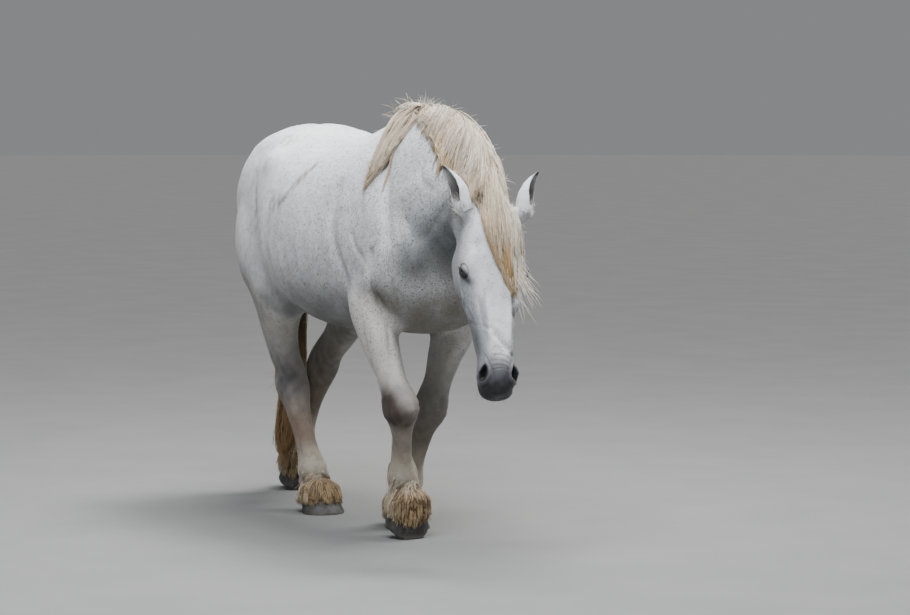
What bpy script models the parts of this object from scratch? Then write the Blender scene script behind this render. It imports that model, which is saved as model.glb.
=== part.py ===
"""A heavy grey horse at the walk, head low, as a life-size still model.

Metres, +Z up. The horse faces -Y and its left side is +X. The flesh is modelled whole, from lofted
masses and muscles that are remeshed into one skin, and is then parted with thin cuts into the
pieces that a person would name. Hooves, eyes, ears and the masses of long hair are solids of their own.
"""

import math

import bmesh
import bpy
from mathutils import Matrix, Quaternion, Vector

# ---------------------------------------------------------------- driving dimensions
WITHERS = 1.62  # height of the withers
BREAST_Y = -0.80  # front of the breast
BUTTOCK_Y = 0.95  # point of the buttock
HEAD = 0.725  # poll to upper lip
FOREARM, FORE_CANNON = 0.455, 0.315  # elbow to knee, knee to fetlock
GASKIN, HIND_CANNON = 0.408, 0.38  # stifle to hock, hock to fetlock
PASTERN = 0.118  # fetlock to the middle of the coronet
HOOF_LENGTH, HOOF_WIDTH, HOOF_HEIGHT = 0.178, 0.180, 0.088
TOE_ANGLE = math.radians(52)  # of the hoof's front wall to the sole
EYE_RADIUS = 0.0235
EAR_LENGTH = 0.185

GAP = 0.0003  # left between neighbouring solids
VOXEL = 0.010  # of the remeshed flesh
FLESH_TRIANGLES = 2900
RING, HOOF_RING = 28, 22  # points round a loft

LEFT, RIGHT = 1, -1
DOWN, UP, FORWARD = Vector((0, 0, -1)), Vector((0, 0, 1)), Vector((0, -1, 0))

# ---------------------------------------------------------------- scene and materials


def clear_scene():
    for obj in list(bpy.data.objects):
        bpy.data.objects.remove(obj)


def collection(name):
    made = bpy.data.collections.new(name)
    bpy.context.scene.collection.children.link(made)
    return made


def material(name, colour, roughness):
    made = bpy.data.materials.new(name)
    made.use_nodes = True
    shader = made.node_tree.nodes["Principled BSDF"]
    shader.inputs["Base Color"].default_value = (*colour, 1)
    shader.inputs["Roughness"].default_value = roughness
    shader.inputs["Metallic"].default_value = 0
    return made


# ---------------------------------------------------------------- mesh helpers


def new_object(name, bm, where):
    mesh = bpy.data.meshes.new(name)
    bmesh.ops.recalc_face_normals(bm, faces=bm.faces[:])
    bm.to_mesh(mesh)
    bm.free()
    made = bpy.data.objects.new(name, mesh)
    where.objects.link(made)
    return made


def loft(name, rings, where, gutter=False):
    """A closed body through rings of points, each with as many points as the next. The rings of a
    gutter run along its outer side and back along its inner side."""
    bm = bmesh.new()
    rows = [[bm.verts.new(p) for p in ring] for ring in rings]
    count = len(rings[0])
    for low, high in zip(rows, rows[1:]):
        for i in range(count):
            j = (i + 1) % count
            bm.faces.new((low[i], low[j], high[j], high[i]))
    for row in (rows[0], rows[-1]):
        if gutter:
            for i in range(count // 2 - 1):
                bm.faces.new((row[i], row[i + 1], row[count - 2 - i], row[count - 1 - i]))
            continue
        hub = bm.verts.new(sum((v.co for v in row), Vector()) / count)
        for i in range(count):
            bm.faces.new((row[i], row[(i + 1) % count], hub))
    return new_object(name, bm, where)


def power(value, exponent):
    return math.copysign(abs(value) ** exponent, value)


def ring(centre, side, up, half, top, bottom, top_power=2.0, bottom_power=2.0, count=RING):
    """A superellipse of half width `half`, reaching `top` above its centre and `bottom` below it."""
    points = []
    for i in range(count):
        angle = 2 * math.pi * i / count
        c, s = math.cos(angle), math.sin(angle)
        p = top_power if s >= 0 else bottom_power
        across = half * power(c, 2 / p)
        along = (top if s >= 0 else bottom) * power(s, 2 / p)
        points.append(centre + side * across + up * along)
    return points


def smooth_rows(rows, steps):
    """Catmull-Rom rows between the given ones, number by number."""
    made = []
    for i in range(len(rows) - 1):
        before, a, b = rows[max(i - 1, 0)], rows[i], rows[i + 1]
        after = rows[min(i + 2, len(rows) - 1)]
        for k in range(steps):
            t = k / steps
            made.append(
                [
                    0.5
                    * (
                        2 * q
                        + (r - p) * t
                        + (2 * p - 5 * q + 4 * r - s) * t * t
                        + (3 * q - p - 3 * r + s) * t**3
                    )
                    for p, q, r, s in zip(before, a, b, after)
                ]
            )
    made.append(list(rows[-1]))
    return made


def ellipsoid(name, centre, axes, radii, where):
    """A muscle or bony lump: three directions and the radius along each."""
    first = axes[0].normalized()
    third = first.cross(axes[1]).normalized()
    second = third.cross(first)
    frame = Matrix((first * radii[0], second * radii[1], third * radii[2])).transposed().to_4x4()
    bm = bmesh.new()
    bmesh.ops.create_uvsphere(bm, u_segments=20, v_segments=14, radius=1)
    bm.transform(Matrix.Translation(centre) @ frame)
    return new_object(name, bm, where)


def muscle(name, start, end, width, thickness, flat, where):
    """A spindle from start to end, `thickness` deep along the direction `flat`."""
    axis = end - start
    return ellipsoid(name, (start + end) / 2, (axis, flat.cross(axis)), (axis.length / 2, width, thickness), where)


def mirrored(point, side):
    return Vector((point[0] * side, point[1], point[2]))


def modify(obj, kind, **settings):
    modifier = obj.modifiers.new(kind.title(), kind)
    for key, value in settings.items():
        setattr(modifier, key, value)
    return modifier


def bake(obj):
    """Applies the modifiers."""
    graph = bpy.context.evaluated_depsgraph_get()
    mesh = bpy.data.meshes.new_from_object(obj.evaluated_get(graph))
    obj.modifiers.clear()
    old = obj.data
    obj.data = mesh
    bpy.data.meshes.remove(old)
    return obj


def join(name, objects, where):
    bm = bmesh.new()
    for obj in objects:
        bm.from_mesh(obj.data)
        bpy.data.objects.remove(obj)
    return new_object_kept(name, bm, where)


def new_object_kept(name, bm, where):
    """As new_object, with the faces' sides left as they are."""
    mesh = bpy.data.meshes.new(name)
    bm.to_mesh(mesh)
    bm.free()
    made = bpy.data.objects.new(name, mesh)
    where.objects.link(made)
    return made


def copy_of(obj, name, where):
    made = obj.copy()
    made.data = obj.data.copy()
    made.name = name
    where.objects.link(made)
    return made


# ---------------------------------------------------------------- the walk

# The hooves' toes on the floor, how far each heel is raised, the slope of each pastern, and how far
# the fetlock stands to the left of its toe.
TOES = {
    "fore_right": (Vector((-0.079, -0.545, 0)), math.radians(42), math.radians(72), -0.008),
    "fore_left": (Vector((0.030, -0.345, 0)), 0.0, math.radians(54), 0.052),
    "hind_right": (Vector((-0.104, 0.200, 0)), 0.0, math.radians(52), 0.002),
    "hind_left": (Vector((0.104, 0.965, 0)), math.radians(22), math.radians(64), 0.040),
}
SINK = {"fore_right": 0.006, "fore_left": 0.0, "hind_right": 0.0, "hind_left": 0.004}  # worn flat at the toe
SHOULDERS = {"right": Vector((-0.175, -0.715, 1.11)), "left": Vector((0.175, -0.695, 1.10))}
ELBOWS = {"right": Vector((-0.228, -0.445, 0.935)), "left": Vector((0.200, -0.375, 0.905))}
HIPS = {"right": Vector((-0.165, 0.620, 1.24)), "left": Vector((0.165, 0.640, 1.23))}
STIFLES = {"right": Vector((-0.240, 0.425, 0.900)), "left": Vector((0.195, 0.655, 0.862))}
HOCK_INWARD = {"right": 0.26, "left": -0.10}  # share of each hock's bend that goes inward
KNEE_INWARD = {"right": -0.10, "left": 0.45}

POLL = Vector((-0.038, -1.180, 1.325))
HEAD_PITCH, HEAD_ROLL, HEAD_YAW = math.radians(20), math.radians(3.5), math.radians(-11)


def head_frame():
    """Columns: the head's left, the way its face looks, and from poll to muzzle; at the poll."""
    turn = (
        Matrix.Rotation(HEAD_YAW, 3, "Z")
        @ Matrix.Rotation(HEAD_ROLL, 3, "Y")
        @ Matrix.Rotation(-HEAD_PITCH, 3, "X")
    )
    return turn @ Vector((1, 0, 0)), turn @ FORWARD, turn @ DOWN


HEAD_LEFT, FACE, MUZZLE = head_frame()


def on_head(across, out, down):
    """A point from the poll: to the head's left, out of the face, and towards the muzzle, in heads."""
    return POLL + (HEAD_LEFT * across + FACE * out + MUZZLE * down) * HEAD


def foot_frame(toe, lift):
    """Directions of a hoof: backward along its sole, and up through it."""
    back = Vector((0, math.cos(lift), math.sin(lift)))
    return back, Vector((0, -math.sin(lift), math.cos(lift)))


def coronet_of(toe, lift):
    back, up = foot_frame(toe, lift)
    return toe + back * 0.118 + up * 0.074


def fetlock_of(toe, lift, slope, lean):
    return coronet_of(toe, lift) + Vector((lean, math.cos(slope) * PASTERN, math.sin(slope) * PASTERN))


def bent(start, end, first, second, towards):
    """The joint between two bones of given lengths, bent towards a direction."""
    span = end - start
    reach = min(span.length, (first + second) * 0.999)
    along = (first**2 + reach**2 - second**2) / (2 * reach)
    height = math.sqrt(max(first**2 - along**2, 0))
    axis = span.normalized()
    aside = (towards - axis * towards.dot(axis)).normalized()
    return start + axis * along + aside * height


# ---------------------------------------------------------------- masses of flesh

# Down the trunk: y, top, bottom, half width, height of the widest place, powers above and below it.
TRUNK = (
    (BREAST_Y - 0.005, 1.19, 0.97, 0.11, 1.08, 2.0, 2.0),
    (-0.76, 1.30, 0.88, 0.200, 1.08, 2.1, 2.1),
    (-0.66, 1.44, 0.815, 0.252, 1.09, 2.0, 2.2),
    (-0.52, 1.555, 0.790, 0.280, 1.11, 1.8, 2.3),
    (-0.36, WITHERS, 0.785, 0.290, 1.13, 1.6, 2.3),
    (-0.20, 1.590, 0.780, 0.318, 1.13, 1.75, 2.2),
    (-0.02, 1.552, 0.768, 0.355, 1.12, 2.1, 2.1),
    (0.16, 1.545, 0.768, 0.377, 1.12, 2.3, 2.1),
    (0.32, 1.562, 0.800, 0.370, 1.15, 2.3, 2.1),
    (0.47, 1.594, 0.870, 0.345, 1.22, 2.3, 2.1),
    (0.62, 1.592, 0.950, 0.325, 1.27, 2.3, 2.1),
    (0.76, 1.548, 1.000, 0.296, 1.27, 2.2, 2.1),
    (0.87, 1.460, 1.040, 0.235, 1.25, 2.0, 2.0),
    (BUTTOCK_Y - 0.02, 1.370, 1.110, 0.150, 1.24, 2.0, 2.0),
)


def trunk_ring(y, top, bottom, half, widest, top_power, bottom_power):
    centre = Vector((0, y, widest))
    return ring(centre, Vector((1, 0, 0)), UP, half, top - widest, widest - bottom, top_power, bottom_power, 40)


def trunk(where):
    return loft("barrel", [trunk_ring(*row) for row in smooth_rows(TRUNK, 4)], where)


# Down the neck: crest y, z, underside y, z, half width, share of the neck drawn over to the head's side.
NECK = (
    (-0.28, 1.575, -0.56, 0.96, 0.235, 0.00),
    (-0.45, 1.636, -0.74, 1.03, 0.205, 0.25),
    (-0.61, 1.662, -0.845, 1.10, 0.176, 0.55),
    (-0.77, 1.644, -0.905, 1.150, 0.155, 0.60),
    (-0.92, 1.576, -0.940, 1.168, 0.138, 0.50),
    (-1.05, 1.478, -0.955, 1.160, 0.124, 0.50),
    (-1.135, 1.390, -0.965, 1.13, 0.108, 0.88),
    (-1.180, 1.330, -0.975, 1.09, 0.092, 1.00),
)
NECK_WIDEST = 0.42  # share of the neck's depth from the underside to its widest place


def neck_section(row):
    """Centre, side, up towards the crest, half width, reach above and below."""
    crest = Vector((POLL.x * row[5], row[0], row[1]))
    under = Vector((POLL.x * row[5] * 0.6, row[2], row[3]))
    up = (crest - under).normalized()
    side = Vector((1, 0, 0))
    depth = (crest - under).length
    centre = under + up * depth * NECK_WIDEST
    return centre, side, up, row[4], depth * (1 - NECK_WIDEST), depth * NECK_WIDEST


def neck_sections(steps):
    return [neck_section(row) for row in smooth_rows(NECK, steps)]


def neck(where):
    rings = [ring(*section, 1.55, 2.1) for section in neck_sections(4)]
    return loft("neck_mass", rings, where)


# Down the head, in head lengths: place, face, jaw, half width, place of the widest, powers of face and jaw.
SKULL = (
    (-0.035, -0.09, -0.20, 0.064, -0.14, 2.0, 2.0),
    (0.01, -0.035, -0.27, 0.108, -0.13, 2.2, 2.0),
    (0.08, -0.004, -0.36, 0.136, -0.13, 2.5, 1.9),
    (0.17, 0.012, -0.435, 0.153, -0.12, 2.7, 1.8),
    (0.27, 0.014, -0.465, 0.168, -0.11, 2.8, 1.7),
    (0.36, 0.010, -0.460, 0.168, -0.12, 2.6, 1.7),
    (0.45, 0.006, -0.415, 0.154, -0.13, 2.4, 1.8),
    (0.55, 0.002, -0.330, 0.130, -0.13, 2.3, 1.9),
    (0.65, 0.000, -0.262, 0.108, -0.12, 2.3, 2.0),
    (0.76, -0.002, -0.225, 0.094, -0.11, 2.3, 2.1),
    (0.86, -0.008, -0.215, 0.097, -0.11, 2.3, 2.2),
    (0.93, -0.028, -0.215, 0.098, -0.115, 2.3, 2.2),
    (0.98, -0.060, -0.198, 0.080, -0.120, 2.2, 2.2),
    (1.0, -0.085, -0.170, 0.050, -0.125, 2.0, 2.0),
)


def head(where):
    rings = []
    for down, face, jaw, half, widest, face_power, jaw_power in smooth_rows(SKULL, 4):
        centre = on_head(0, widest, down)
        rings.append(
            ring(
                centre,
                HEAD_LEFT,
                FACE,
                half * HEAD,
                (face - widest) * HEAD,
                (widest - jaw) * HEAD,
                face_power,
                jaw_power,
            )
        )
    return loft("skull", rings, where)


def head_lump(name, across, out, down, axis, turn, radii, where):
    """An ellipsoid on the head; its axes are given across, out of the face and down the head."""
    first = HEAD_LEFT * axis[0] + FACE * axis[1] + MUZZLE * axis[2]
    second = HEAD_LEFT * turn[0] + FACE * turn[1] + MUZZLE * turn[2]
    return ellipsoid(name, on_head(across, out, down), (first, second), [r * HEAD for r in radii], where)


def head_forms(where):
    made = []
    for s in (LEFT, RIGHT):
        lump = lambda name, *args: made.append(head_lump(name, *args, where))
        lump("cheek", 0.106 * s, -0.27, 0.27, (0, 0.2, 1), (1, 0, 0), (0.165, 0.048, 0.155))
        lump("orbit", 0.142 * s, -0.080, 0.345, (0, -0.3, 1), (1, 0, 0), (0.070, 0.034, 0.055))
        lump("brow", 0.122 * s, -0.030, 0.300, (0, 0, 1), (1, 0, 0), (0.070, 0.034, 0.032))
        lump("facial_crest", 0.124 * s, -0.135, 0.45, (-0.22 * s, 0, 1), (1, 0, 0), (0.150, 0.022, 0.022))
        lump("temple", 0.085 * s, -0.06, 0.13, (0.2 * s, 0, 1), (1, 0, 0), (0.11, 0.048, 0.055))
        lump("nasal_edge", 0.050 * s, -0.022, 0.62, (-0.05 * s, 0, 1), (1, 0, 0), (0.22, 0.030, 0.026))
        lump("nostril_wing", 0.082 * s, -0.070, 0.885, (-0.25 * s, -0.2, 1), (1, 0, 0), (0.062, 0.025, 0.046))
        lump("lip_side", 0.062 * s, -0.130, 0.925, (0, 0, 1), (1, 0, 0), (0.055, 0.036, 0.05))
        lump("jaw_bar", 0.055 * s, -0.25, 0.62, (0, 0.42, 1), (1, 0, 0), (0.24, 0.032, 0.035))
    made.append(head_lump("upper_lip", 0, -0.075, 0.955, (0, 0, 1), (1, 0, 0), (0.042, 0.062, 0.050), where))
    made.append(head_lump("chin", 0, -0.195, 0.905, (0, 0, 1), (1, 0, 0), (0.062, 0.052, 0.035), where))
    made.append(head_lump("forehead", 0, -0.045, 0.20, (0, 0, 1), (1, 0, 0), (0.17, 0.10, 0.068), where))
    return made


def limb(name, joints, stations, where, ahead=FORWARD):
    """A leg through its joints. A station: place in bones from the first joint, reach in front,
    reach behind, half width, and shift outward."""
    outward = 1 if joints[0].x > 0 else -1
    bones = [(b - a).normalized() for a, b in zip(joints, joints[1:])]
    rings = []
    for place, front, behind, half, shift in smooth_rows(stations, 3):
        index = min(max(int(place), 0), len(bones) - 1)
        share = place - index
        at = joints[index].lerp(joints[index + 1], share)
        way = bones[index]
        if share > 0.7 and index + 1 < len(bones):
            way = bones[index].lerp(bones[index + 1], (share - 0.7) / 0.6)
        elif share < 0.3 and index > 0:
            way = bones[index - 1].lerp(bones[index], 0.5 + share / 0.6)
        way = way.normalized()
        side = way.cross(ahead).normalized()
        front_way = side.cross(way).normalized()
        centre = at + Vector((shift * outward, 0, 0)) + front_way * (front - behind) / 2
        rings.append(ring(centre, side, front_way, half, (front + behind) / 2, (front + behind) / 2, 2.15, 2.1, 24))
    return loft(name, rings, where)


# Fore leg: place in bones (elbow 0, knee 1, fetlock 2, coronet 3), front, behind, half width, outward shift.
FORELEG = (
    (-0.12, 0.115, 0.120, 0.070, -0.010),
    (0.06, 0.110, 0.110, 0.086, -0.004),
    (0.25, 0.098, 0.098, 0.082, 0.000),
    (0.50, 0.078, 0.082, 0.068, 0.002),
    (0.74, 0.062, 0.066, 0.057, 0.002),
    (0.90, 0.066, 0.064, 0.068, 0.000),
    (1.00, 0.070, 0.064, 0.077, 0.000),
    (1.11, 0.062, 0.064, 0.070, 0.000),
    (1.26, 0.046, 0.058, 0.050, 0.000),
    (1.50, 0.040, 0.052, 0.040, 0.000),
    (1.78, 0.042, 0.056, 0.043, 0.000),
    (1.93, 0.052, 0.062, 0.055, 0.000),
    (2.04, 0.054, 0.062, 0.058, 0.000),
    (2.28, 0.046, 0.050, 0.052, 0.000),
    (2.60, 0.050, 0.050, 0.058, 0.000),
    (3.00, 0.062, 0.052, 0.068, 0.000),
    (3.20, 0.064, 0.052, 0.066, 0.000),
)
# Hind leg: place in bones (hip 0, stifle 1, hock 2, fetlock 3, coronet 4).
HINDLEG = (
    (-0.10, 0.17, 0.20, 0.115, 0.005),
    (0.20, 0.21, 0.25, 0.135, 0.000),
    (0.55, 0.225, 0.245, 0.132, -0.005),
    (0.85, 0.190, 0.215, 0.112, -0.006),
    (1.10, 0.150, 0.170, 0.096, -0.002),
    (1.35, 0.108, 0.116, 0.076, 0.016),
    (1.62, 0.078, 0.090, 0.063, 0.016),
    (1.84, 0.064, 0.088, 0.064, 0.000),
    (1.98, 0.064, 0.094, 0.073, 0.000),
    (2.11, 0.062, 0.080, 0.071, 0.000),
    (2.28, 0.052, 0.066, 0.055, 0.000),
    (2.55, 0.043, 0.056, 0.044, 0.000),
    (2.82, 0.045, 0.058, 0.046, 0.000),
    (2.94, 0.054, 0.064, 0.058, 0.000),
    (3.04, 0.056, 0.064, 0.060, 0.000),
    (3.28, 0.047, 0.050, 0.053, 0.000),
    (3.60, 0.050, 0.050, 0.058, 0.000),
    (4.00, 0.062, 0.052, 0.068, 0.000),
    (4.20, 0.064, 0.052, 0.066, 0.000),
)


def foreleg_joints(side):
    toe = TOES["fore_" + side]
    elbow, fetlock, coronet = ELBOWS[side], fetlock_of(*toe), coronet_of(*toe[:2])
    inward = -1 if side == "left" else 1
    knee = bent(elbow, fetlock, FOREARM, FORE_CANNON, FORWARD + Vector((inward * KNEE_INWARD[side], 0, 0)))
    return [elbow, knee, fetlock, coronet]


def hindleg_joints(side):
    toe = TOES["hind_" + side]
    fetlock, coronet = fetlock_of(*toe), coronet_of(*toe[:2])
    stifle = STIFLES[side]
    inward = -1 if side == "left" else 1
    hock = bent(stifle, fetlock, GASKIN, HIND_CANNON, Vector((inward * HOCK_INWARD[side], 1, 0)))
    return [HIPS[side], stifle, hock, fetlock, coronet]


def fore_quarter(side, where):
    s = LEFT if side == "left" else RIGHT
    joints = foreleg_joints(side)
    elbow, knee, fetlock = joints[:3]
    shoulder = SHOULDERS[side]
    blade = mirrored((0.085, elbow.y + 0.055, 1.555), s)
    out = Vector((s, 0, 0))
    made = [limb("foreleg", joints, FORELEG, where)]
    made.append(muscle("shoulder_blade", blade, shoulder + Vector((0.0, 0.08, 0.02)), 0.170, 0.062, out, where))
    made.append(
        muscle("triceps", mirrored((0.165, -0.255, 1.36), s), elbow + Vector((0.005 * s, 0.03, -0.06)), 0.125, 0.085, out, where)
    )
    made.append(
        muscle("upper_arm", shoulder + Vector((0, 0.02, 0.05)), elbow + Vector((0.005 * s, -0.01, -0.03)), 0.115, 0.085, out, where)
    )
    made.append(ellipsoid("shoulder_point", shoulder, (out, UP), (0.060, 0.105, 0.110), where))
    made.append(
        muscle(
            "breast",
            mirrored((0.125, -0.745, 1.20), s),
            mirrored((0.115, -0.665, 0.86), s),
            0.105,
            0.085,
            FORWARD,
            where,
        )
    )
    forearm = elbow.lerp(knee, 0.22)
    made.append(ellipsoid("extensor", forearm + Vector((0.018 * s, -0.040, 0)), (knee - elbow, out), (0.17, 0.062, 0.070), where))
    heel_of_knee = knee + Vector((0.010 * s, 0.052, 0.012))
    made.append(ellipsoid("accessory_carpal", heel_of_knee, (UP, out), (0.036, 0.026, 0.024), where))
    made.append(ellipsoid("ergot", fetlock + Vector((0, 0.050, -0.012)), (UP, out), (0.036, 0.040, 0.030), where))
    return made


def hind_quarter(side, where):
    s = LEFT if side == "left" else RIGHT
    joints = hindleg_joints(side)
    hip, stifle, hock, fetlock = joints[:4]
    out = Vector((s, 0, 0))
    made = [limb("hindleg", joints, HINDLEG, where)]
    made.append(
        muscle("croup", mirrored((0.150, 0.34, 1.500), s), mirrored((0.125, 0.87, 1.400), s), 0.135, 0.110, UP, where)
    )
    made.append(ellipsoid("hip_bone", mirrored((0.252, 0.385, 1.395), s), (out, UP), (0.062, 0.105, 0.115), where))
    buttock = mirrored((0.125, BUTTOCK_Y - 0.085, 1.30), s)
    rear = stifle.lerp(hock, 0.30) + Vector((-0.005 * s, 0.105, 0.0))
    made.append(muscle("hamstring", buttock + Vector((0, 0.0, 0.11)), rear, 0.105, 0.105, out, where))
    made.append(muscle("thigh", hip + Vector((0.055 * s, 0.02, 0.14)), stifle + Vector((0.012 * s, 0.04, -0.04)), 0.215, 0.125, out, where))
    front = stifle + Vector((0.010 * s, -0.075, 0.035))
    made.append(muscle("quadriceps", mirrored((0.255, 0.40, 1.32), s), front, 0.100, 0.085, out, where))
    made.append(ellipsoid("kneecap", front + Vector((0, -0.012, -0.01)), (UP, out), (0.060, 0.055, 0.045), where))
    made.append(ellipsoid("gaskin_out", stifle.lerp(hock, 0.36) + Vector((0.022 * s, -0.01, 0)), (hock - stifle, out), (0.165, 0.055, 0.085), where))
    heel = hock + (hock - fetlock).normalized() * 0.055 + Vector((0, 0.060, 0.0))
    made.append(muscle("point_of_hock", heel + Vector((0, 0.004, 0.030)), hock + Vector((0, 0.03, -0.05)), 0.030, 0.030, out, where))
    tendon_top = stifle.lerp(hock, 0.45) + Vector((0, 0.085, 0))
    made.append(muscle("hock_tendon", tendon_top, heel + Vector((0, 0.004, 0.01)), 0.026, 0.020, out, where))
    made.append(ellipsoid("ergot", fetlock + Vector((0, 0.050, -0.012)), (UP, out), (0.036, 0.040, 0.030), where))
    return made


def crest_and_withers(where):
    """The thick crest along the top of the neck, and the withers' ridge."""
    made = []
    sections = neck_sections(2)
    for (c0, _, u0, _, t0, _), (c1, _, u1, _, t1, _) in zip(sections, sections[1:]):
        a, b = c0 + u0 * (t0 - 0.045), c1 + u1 * (t1 - 0.045)
        made.append(muscle("crest", a - (b - a) * 0.6, b + (b - a) * 0.6, 0.050, 0.052, UP, where))
    made.append(ellipsoid("withers", Vector((0, -0.34, WITHERS - 0.070)), (FORWARD, UP), (0.26, 0.075, 0.060), where))
    return made


SMOOTHING = 60  # rounds


def smoothing_share(point):
    """The trunk is smoothed fully, the head and the lower legs little."""
    down_head = (point - POLL).dot(MUZZLE) / HEAD
    out_of_face = (point - POLL).dot(FACE) / HEAD
    if down_head > -0.1 and out_of_face > -0.5 and point.y < -0.9:
        return 0.15
    if point.z < 0.62:
        return 0.16
    return min(1.0, 0.16 + (point.z - 0.62) * 2.6)


def whole_flesh(where):
    masses = [trunk(where), neck(where), head(where)]
    masses += head_forms(where) + crest_and_withers(where)
    for side in ("left", "right"):
        masses += fore_quarter(side, where) + hind_quarter(side, where)
    flesh = join("flesh", masses, where)
    modify(flesh, "REMESH", mode="VOXEL", voxel_size=VOXEL, adaptivity=0)
    bake(flesh)
    group = flesh.vertex_groups.new(name="soften")
    for vertex in flesh.data.vertices:
        group.add([vertex.index], smoothing_share(vertex.co), "REPLACE")
    modify(flesh, "SMOOTH", factor=0.6, iterations=SMOOTHING, vertex_group="soften")
    bake(flesh)
    flesh.vertex_groups.clear()
    return flesh


# ---------------------------------------------------------------- hooves, eyes and ears


def hoof(limb_name, where):
    """Toe first: a sole, flaring walls, and a coronet that slopes down to the heel."""
    toe, lift = TOES[limb_name][:2]
    toe = toe - Vector((0, 0, SINK[limb_name]))
    back, up = foot_frame(toe, lift)
    side = Vector((1, 0, 0))
    heel_low, heel_high = HOOF_LENGTH, HOOF_LENGTH - 0.004
    front_high = HOOF_HEIGHT / math.tan(TOE_ANGLE)
    rings = []
    for share in (0.0, 0.06, 0.5, 1.0):
        spread = 1 if share else 0.975
        front = share * front_high + (0 if share else 0.002)
        rear = heel_low + (heel_high - heel_low) * share
        half = (HOOF_WIDTH / 2 - 0.019 * share) * spread
        middle = (front + rear) / 2
        points = []
        for i in range(HOOF_RING):
            angle = 2 * math.pi * i / HOOF_RING
            c, s = math.cos(angle), math.sin(angle)
            across = half * power(s, 0.92) * (1 - 0.10 * max(0, -c))
            along = middle - (rear - front) / 2 * power(c, 0.92)
            height = share * (HOOF_HEIGHT - (HOOF_HEIGHT - 0.052) * (along - front) / (rear - front))
            points.append(toe + back * along + up * height + side * across)
        rings.append(points)
    made = loft("hoof_" + limb_name, rings, where)
    bm = bmesh.new()
    bm.from_mesh(made.data)
    if SINK[limb_name]:
        everything = bm.verts[:] + bm.edges[:] + bm.faces[:]
        bmesh.ops.bisect_plane(bm, geom=everything, plane_co=(0, 0, 0), plane_no=(0, 0, -1), clear_outer=True)
        bmesh.ops.holes_fill(bm, edges=[e for e in bm.edges if e.is_boundary])
        bmesh.ops.recalc_face_normals(bm, faces=bm.faces[:])
        bm.to_mesh(made.data)
    bm.free()
    return made


def coronet_plane(limb_name):
    """A point on the hoof's top, and the direction up from it."""
    toe, lift = TOES[limb_name][:2]
    toe = toe - Vector((0, 0, SINK[limb_name]))
    back, up = foot_frame(toe, lift)
    front_high = HOOF_HEIGHT / math.tan(TOE_ANGLE)
    front = toe + back * front_high + up * HOOF_HEIGHT
    rear = toe + back * (HOOF_LENGTH - 0.004) + up * 0.052
    along = (rear - front).normalized()
    return (front + rear) / 2, Vector((1, 0, 0)).cross(along).normalized()


EYES = {"right": on_head(-0.146, -0.080, 0.347), "left": on_head(0.146, -0.080, 0.347)}


def eye(side, where):
    bm = bmesh.new()
    bmesh.ops.create_uvsphere(bm, u_segments=12, v_segments=8, radius=EYE_RADIUS)
    bm.transform(Matrix.Translation(EYES[side]))
    return new_object("eye_" + side, bm, where)


# Up an ear: height, half width, half depth, how far its lips stand open (degrees from its back).
EAR = (
    (-0.14, 0.030, 0.028, 150),
    (0.00, 0.038, 0.034, 142),
    (0.15, 0.044, 0.038, 126),
    (0.33, 0.047, 0.038, 110),
    (0.54, 0.040, 0.032, 100),
    (0.74, 0.028, 0.022, 92),
    (0.90, 0.014, 0.011, 88),
    (1.0, 0.0042, 0.0035, 86),
)
EAR_THICK = 0.0042


def ear(side, where):
    """A gutter of gristle, open outward and a little forward, that narrows to a point curled inward."""
    s = LEFT if side == "left" else RIGHT
    base = on_head(0.150 * s + (0.020 if side == "left" else 0.004), -0.070, 0.008)
    spread = math.radians(27 if side == "right" else 27)
    way = (-MUZZLE * math.cos(spread) + HEAD_LEFT * math.sin(spread) * s - FACE * 0.16).normalized()
    mouth = HEAD_LEFT * s + FACE * (0.50 if side == "left" else 0.08)
    mouth = (mouth - way * mouth.dot(way)).normalized()
    across = way.cross(mouth).normalized()
    rings = []
    for height, half, depth, lips in EAR:
        centre = base + way * height * EAR_LENGTH - mouth * 0.010 * math.sin(math.pi * min(max(height, 0), 1))
        centre += mouth * -0.012 * max(height, 0) ** 2
        lips = math.radians(lips)
        outer, inner = [], []
        steps = 7
        for k in range(steps + 1):
            angle = -lips + 2 * lips * k / steps
            # 0 looks to the ear's back
            direction = across * math.sin(angle) * half - mouth * math.cos(angle) * depth
            outer.append(centre + direction)
            thin = EAR_THICK * (1 if height < 0.8 else 0.62)
            inner.append(centre + direction * max(0.25, 1 - thin / depth))
        rings.append(outer + inner[::-1])
    return loft("ear_" + side, rings, where, gutter=True)


# ---------------------------------------------------------------- masses of long hair


def around(section, degrees, extra):
    """A point outside a neck section; 0 degrees is the crest, positive to the horse's right."""
    centre, side, up, half, top, _ = section
    angle = math.radians(90 + degrees)
    c, s = math.cos(angle), math.sin(angle)
    p = 1.62
    return centre + side * (half + extra) * power(c, 2 / p) + up * (top + extra) * power(s, 2 / p)


def hair_band(name, sections, start, end, thick, deep, where):
    """Hair that lies round neck sections from `start` to `end` degrees past the crest."""
    rings = []
    steps = 9
    for i, section in enumerate(sections):
        a, b, t = start[i], end[i], thick[i]
        outer = []
        inner = []
        for k in range(steps + 1):
            share = k / steps
            taper = math.sin(math.pi * min(max(share, 0.10), 0.90)) ** 0.5
            outer.append(around(section, a + (b - a) * share, t * taper))
            inner.append(around(section, a + (b - a) * share, -deep))
        rings.append(outer + inner[::-1])
    return loft(name, rings, where, gutter=True)


def mane_neck(where):
    sections = neck_sections(3)[4:20]
    count = len(sections)
    start, end, thick = [], [], []
    for i in range(count):
        share = i / (count - 1)
        start.append(-16 - 26 * share)
        end.append(16 + 50 * math.sin(math.pi * 0.56 * share) ** 1.3)
        thick.append(0.012 + 0.016 * math.sin(math.pi * (0.10 + share * 0.60)) + 0.018 * share)
    return hair_band("mane_neck", sections, start, end, thick, 0.03, where)


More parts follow.
